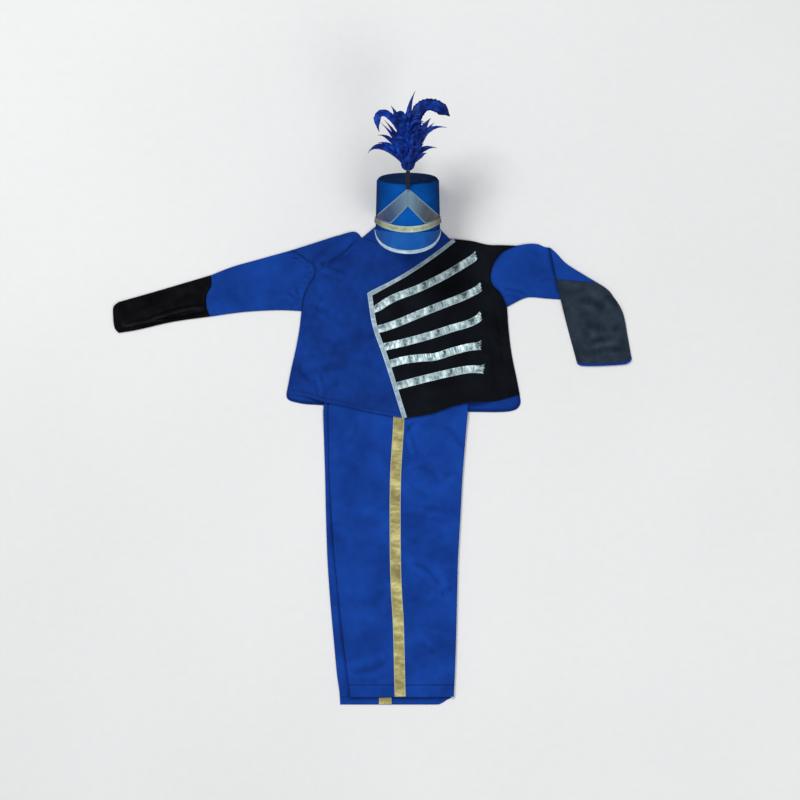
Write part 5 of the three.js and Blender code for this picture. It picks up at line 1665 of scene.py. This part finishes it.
def button(side, name, node):
    """The small button at one end of the band."""
    select_only()
    place = (side * (BASE_HALF[0] + 0.6) * MM, 0, 15 * MM)
    bpy.ops.mesh.primitive_cylinder_add(
        vertices=40, radius=4.9 * MM, depth=1.6 * MM, rotation=(0, math.pi / 2, 0), location=place
    )
    piece = bpy.context.object
    fix_place()
    edit(piece)
    bpy.ops.mesh.select_mode(type="FACE")
    bpy.ops.mesh.select_all(action="DESELECT")
    bpy.ops.object.mode_set(mode="OBJECT")
    for face in piece.data.polygons:
        face.select = face.normal.x * side > 0.9
    bpy.ops.object.mode_set(mode="EDIT")
    for inset, out in BUTTON_RINGS:
        bpy.ops.mesh.inset(thickness=inset * MM)
        bpy.ops.transform.translate(value=(side * out * MM, 0, 0))
    bpy.ops.object.mode_set(mode="OBJECT")
    bevel(piece, 0.25)
    done(piece, name, dark_plastic, [node])


STEM_OFFSET = 5.8
STEM_FRONT = TOP_SHIFT + TOP_HALF[1] + STEM_OFFSET
STEM_FOOT, STEM_LENGTH, STEM_RADIUS = 93, 39.6, 4
STEM_PROFILE = [
    (93, 2.6), (96, 3.1), (103, 3.4), (107, 3.7), (109, 4.3), (111, 4.1), (126, 4.4), (128, 4.7), (132.6, 4.5)
]


def stem():
    """The plume's stem, with a collar at its middle and its top."""
    select_only()
    place = (0, -STEM_FRONT * MM, (STEM_FOOT + STEM_LENGTH / 2) * MM)
    bpy.ops.mesh.primitive_cylinder_add(
        vertices=28, radius=STEM_RADIUS * MM, depth=STEM_LENGTH * MM, location=place
    )
    piece = bpy.context.object
    fix_place()
    edit(piece)
    for up in (96, 99, 103, 107, 109, 111, 126, 128):
        bpy.ops.mesh.select_all(action="SELECT")
        bpy.ops.mesh.bisect(plane_co=(0, 0, up * MM), plane_no=(0, 0, 1))
    bpy.ops.object.mode_set(mode="OBJECT")
    for vertex in piece.data.vertices:
        wide = np.interp(vertex.co.z / MM, *np.array(STEM_PROFILE).T) / STEM_RADIUS
        vertex.co.x *= wide
        vertex.co.y = -STEM_FRONT * MM + (vertex.co.y + STEM_FRONT * MM) * wide
    bevel(piece, 0.3)
    done(piece, "plume_stem_rod", dark_plastic, ["plume_stem"])


# The plume

PLUME_ROOT = 138

# Each feather: its tip, how far it stands to the front, the point its spine bows towards, and its
# widest half width
FEATHERS = [
    (15.7, 302, 4, -10, 258, 6),
    (32, 284, 10, 2, 262, 9),
    (60, 262, -10, 10, 296, 11),
    (82, 224, -6, 24, 238, 6),
    (55, 236, 18, 30, 215, 6),
    (48, 246, 24, 25, 225, 8),
    (61, 182, 4, 20, 190, 6),
    (40, 172, 16, 20, 168, 6),
    (33, 193, 26, 18, 182, 6),
    (-36, 270, -6, -12, 240, 8),
    (-58, 236, 14, -20, 205, 4),
    (-50, 239, -14, -15, 205, 5),
    (-64, 208, -6, -29, 212, 5),
    (-64, 193, 10, -30, 198, 5),
    (-85, 171, 2, -56, 210, 7),
    (-35, 170, 20, -15, 170, 6),
    (6, 262, 22, 0, 210, 12),
    (-16, 250, 26, -10, 205, 12),
    (24, 250, 24, 14, 205, 12),
    (-4, 228, 31, -2, 190, 11),
    (4, 256, -22, 2, 205, 12),
    (-20, 240, -25, -12, 205, 12),
    (28, 238, -24, 16, 205, 12),
    (18, 232, 33, 16, 190, 8),
    (-22, 222, 32, -18, 185, 8),
    (30, 208, 29, 14, 180, 7),
    (-30, 204, 28, -16, 178, 7),
    (10, 212, 35, 2, 176, 8),
    (-10, 196, 34, -4, 172, 8),
]

# The two large curled feathers have a second point, nearer the tip, that their spine bows towards,
# and the share of their length from which they narrow
CURLED_FEATHERS = [
    (88, 249, 6, -4, 290, 48, 292, 13.5, 0.83),
    (-61, 216, 4, -8, 272, -84, 282, 8, 0.8),
]
SMALL_FEATHERS = 120
# The core's radius at each height
CORE_PROFILE = [(133, 0.5), (134, 6.5), (139, 12.4), (148, 15.4), (162, 13.6), (176, 8.6), (182, 0.5)]


def feather_colour():
    """Dyed feather: fine slanting barbs on the feather's own map, painted highlights in patches, and painted
    shade at its edges and its root.
    """
    n = Nodes("dyed_feather")
    barbs = n.wave(n.coordinates("UV", turn=0.9), 0.0011, "X", 1.2)
    patches = n.noise(n.coordinates("Object"), 0.012, 3.0)
    # The feathers' dye, with its brightest patches painted highlights.
    dyes_and_highlights = [(0.36, (0.0020, 0.022, 0.26)), (0.5, (0.0040, 0.045, 0.46)), (0.66, (0.0090, 0.110, 0.72))]
    colour = n.ramp(patches, dyes_and_highlights)
    colour = n.blend(0.4, colour, n.ramp(barbs, [(0.2, (0.45, 0.45, 0.5)), (0.8, (1, 1, 1))]), "MULTIPLY")
    # Painted shade and painted highlights from the feathers' 'hollow' values.
    colour = n.relief(colour, ((0.05, 1.0), (0.5, 0.58), (0.95, 0.12)))
    rough = n.scaled(patches, 0.25, 0.28)
    return n.surface(colour, rough, n.bump(barbs, 0.0004, 0.8), Specular_IOR_Level=0.14)


def bezier(points, t):
    """Points on a curve from the first to the last point, drawn towards those between."""
    t = np.asarray(t)[..., None]
    last = len(points) - 1
    pulls = (math.comb(last, k) * (1 - t) ** (last - k) * t**k for k in range(last + 1))
    return sum(pull * np.array(point, float) for pull, point in zip(pulls, points))


# The vane's outline, once round: how far aside, how high, and how dark its painted shade is, with a painted
# highlight where it is below 0
VANE = [(-1, 0, 0.6), (-0.5, 0.75, -0.4), (0, 1.7, 0.25), (0.5, 0.75, -0.4), (1, 0, 0.6)]
VANE += [(0.5, 0.15, 0.1), (0, 0.3, 0.2), (-0.5, 0.15, 0.1)]


def feather_vane(controls, half, taper_from, stations, rng):
    """One feather: a thin hollow-backed vane with a raised shaft and ragged, forward-swept edges."""
    t = np.linspace(0, 1, stations)
    spine = bezier(controls, t)
    ahead = np.gradient(spine, axis=0)
    ahead /= np.linalg.norm(ahead, axis=1, keepdims=True)
    across = np.column_stack([ahead[:, 1], -ahead[:, 0], 0 * t])
    across /= np.maximum(np.linalg.norm(across, axis=1, keepdims=True), 1e-6)
    up = np.cross(across, ahead)
    up *= np.where(up[:, 2:] < 0, -1, 1)
    wide = half * mix(0.35, 1, smooth(t / 0.45)) * (1 - smooth((t - taper_from) / (1.02 - taper_from)) * 0.93)
    gone = line_length(spine)
    rows, shade, maps = [], [], []
    ragged = {}
    for side in (-1, 1):
        teeth = (gone / rng.uniform(5.5, 7.5) + rng.uniform(0, 1)) % 1
        ragged[side] = 0.92 + 0.15 * teeth * rng.uniform(0.7, 1.15) - 0.08 * rng.uniform(0, 1, stations)
    twist = rng.uniform(-0.35, 0.35)
    tone = rng.uniform(-0.45, 0.35)
    for aside, high, dark in VANE:
        reach = wide * aside
        if abs(aside) == 1:
            reach = reach * ragged[int(aside)]
        sweep = np.abs(reach)[:, None] * ahead * (0.35 if abs(aside) == 1 else 0.1)
        lift = high * mix(1, 0.4, t) + twist * reach * 0.5
        rows.append(spine + across * reach[:, None] + sweep + up * lift[:, None])
        # Painted shade at the edges, the shaft and the root, a painted highlight on the mid-vane, darker
        # towards the tip, and a tone that differs at random from feather to feather.
        shade.append(dark + tone + 0.3 * (1 - smooth(t / 0.3)) + 0.35 * smooth((t - 0.75) / 0.25))
        maps.append(np.column_stack([gone, reach]))
    return np.stack(rows, axis=1), np.stack(shade, axis=1), np.stack(maps, axis=1)


def plume():
    """All the feathers, as one piece."""
    rng = np.random.default_rng(17)
    made = []
    for tip_x, tip_y, front, bow_x, bow_y, half in FEATHERS:
        root = (math.copysign(2, tip_x), PLUME_ROOT, front * 0.15)
        controls = [root, (bow_x, bow_y, front * 0.5), (tip_x, tip_y, front)]
        made.append(feather_vane(controls, half, 0.55, 46, rng))
    for tip_x, tip_y, front, bow_x, bow_y, curl_x, curl_y, half, taper_from in CURLED_FEATHERS:
        root = (math.copysign(2, tip_x), PLUME_ROOT, front * 0.15)
        controls = [root, (bow_x, bow_y, front * 0.5), (curl_x, curl_y, front * 0.8), (tip_x, tip_y, front)]
        made.append(feather_vane(controls, half, taper_from, 60, rng))
    for _ in range(SMALL_FEATHERS):
        up = rng.uniform(142, 240)
        lean = rng.uniform(-1, 1)
        front = rng.uniform(12, 31) * (1 if rng.uniform() < 0.8 else -1)
        room = 8 + 24 * smooth((up - 140) / 60)
        length = rng.uniform(20, 34)
        root = (lean * 6, up, front * 0.6)
        tip = (lean * room * 1.25, up + length * (1.1 - 0.75 * abs(lean)), front)
        bow = (lean * room * 0.5, up + length * 0.8, front * 1.1)
        made.append(feather_vane([root, bow, tip], rng.uniform(2.6, 4.6), 0.5, 18, rng))
    points, faces, shade, maps = [], [], [], []
    start = 0
    for rings, dark, flat in made:
        stations, around = rings.shape[:2]
        at = start + np.arange(stations * around).reshape(stations, around)
        nxt = np.roll(at, -1, axis=1)
        faces += np.column_stack([q.ravel() for q in (at[:-1], nxt[:-1], nxt[1:], at[1:])]).tolist()
        faces += [at[0, ::-1].tolist(), at[-1].tolist()]
        points.append(rings.reshape(-1, 3))
        shade.append(dark.ravel())
        maps.append(flat.reshape(-1, 2))
        start += stations * around
    placed = laid(np.vstack(points) + (0, 0, STEM_FRONT))
    # The feathers' painted shade and highlights, given to the material as their 'hollow' values.
    dark = np.clip(np.concatenate(shade), -1, 1)
    maps = np.vstack(maps)
    finish_mesh("plume_feathers", placed, faces, feather, "feather", maps, 50, lambda x, y: dark, "plume")


def plume_core():
    """The round core that the feathers grow from."""
    select_only()
    bpy.ops.mesh.primitive_uv_sphere_add(segments=66, ring_count=22, radius=1)
    core = bpy.context.object
    at = points_of(core.data)
    up = mix(CORE_PROFILE[0][0], CORE_PROFILE[-1][0], (at[:, 2] + 1) / 2)
    radius = np.interp(up, *np.array(CORE_PROFILE).T)
    flat = np.maximum(np.hypot(at[:, 0], at[:, 1]), 1e-6)
    turn = np.arctan2(at[:, 1], at[:, 0])
    radius = np.where(flat < 1e-4, 0, radius * (0.95 + 0.09 * np.sin(turn * 11 + up * 0.35)))
    placed = np.column_stack([radius * at[:, 0] / flat, -STEM_FRONT + radius * at[:, 1] / flat, up])
    core.data.vertices.foreach_set("co", (placed * MM).ravel())
    core.data.update()
    done(core, "plume_core", feather, smooth_angle=60)


feather = feather_colour()
crown()
crown_top()
visor()
band()
chevron(-1, "chevron_right_ribbon", "chevron_right", sheer_right)
chevron(1, "chevron_left_ribbon", "chevron_left", sheer_left)
button(-1, "strap_button_right_knob", "strap_button_right")
button(1, "strap_button_left_knob", "strap_button_left")
stem()
plume()
plume_core()


# Light and camera

world = bpy.data.worlds.new("studio")
bpy.context.scene.world = world
world.use_nodes = True
sky = world.node_tree.nodes["Background"]
sky.inputs["Color"].default_value = (0.95, 0.97, 1.0, 1)
sky.inputs["Strength"].default_value = 0.42


def soft_light(name, place, aim, size, energy):
    """A large round lamp that shines from a place towards another."""
    light = bpy.data.lights.new(name, "AREA")
    light.shape = "DISK"
    light.size = size
    light.energy = energy
    lamp = bpy.data.objects.new(name, light)
    lamp.location = place
    lamp.rotation_euler = (Vector(aim) - Vector(place)).to_track_quat("-Z", "Y").to_euler()
    bpy.context.scene.collection.objects.link(lamp)


soft_light("key_light", (-2.4, 2.95, 4.8), (0, 0, 0), 1.95, 195)
soft_light("fill_light", (2.1, -2.4, 4.0), (0, 0, 0), 3.0, 81)

VIEW_MM = 1760
CAMERA_HEIGHT = 6.0
SENSOR = 36
camera = bpy.data.objects.new("camera", bpy.data.cameras.new("camera"))
camera.data.sensor_width = SENSOR
camera.data.lens = SENSOR * CAMERA_HEIGHT / (VIEW_MM * MM)
camera.data.clip_end = 30
camera.location = (0.0582, 0.0084, CAMERA_HEIGHT)
bpy.context.scene.collection.objects.link(camera)
bpy.context.scene.camera = camera
bpy.context.scene.view_settings.view_transform = "Standard"
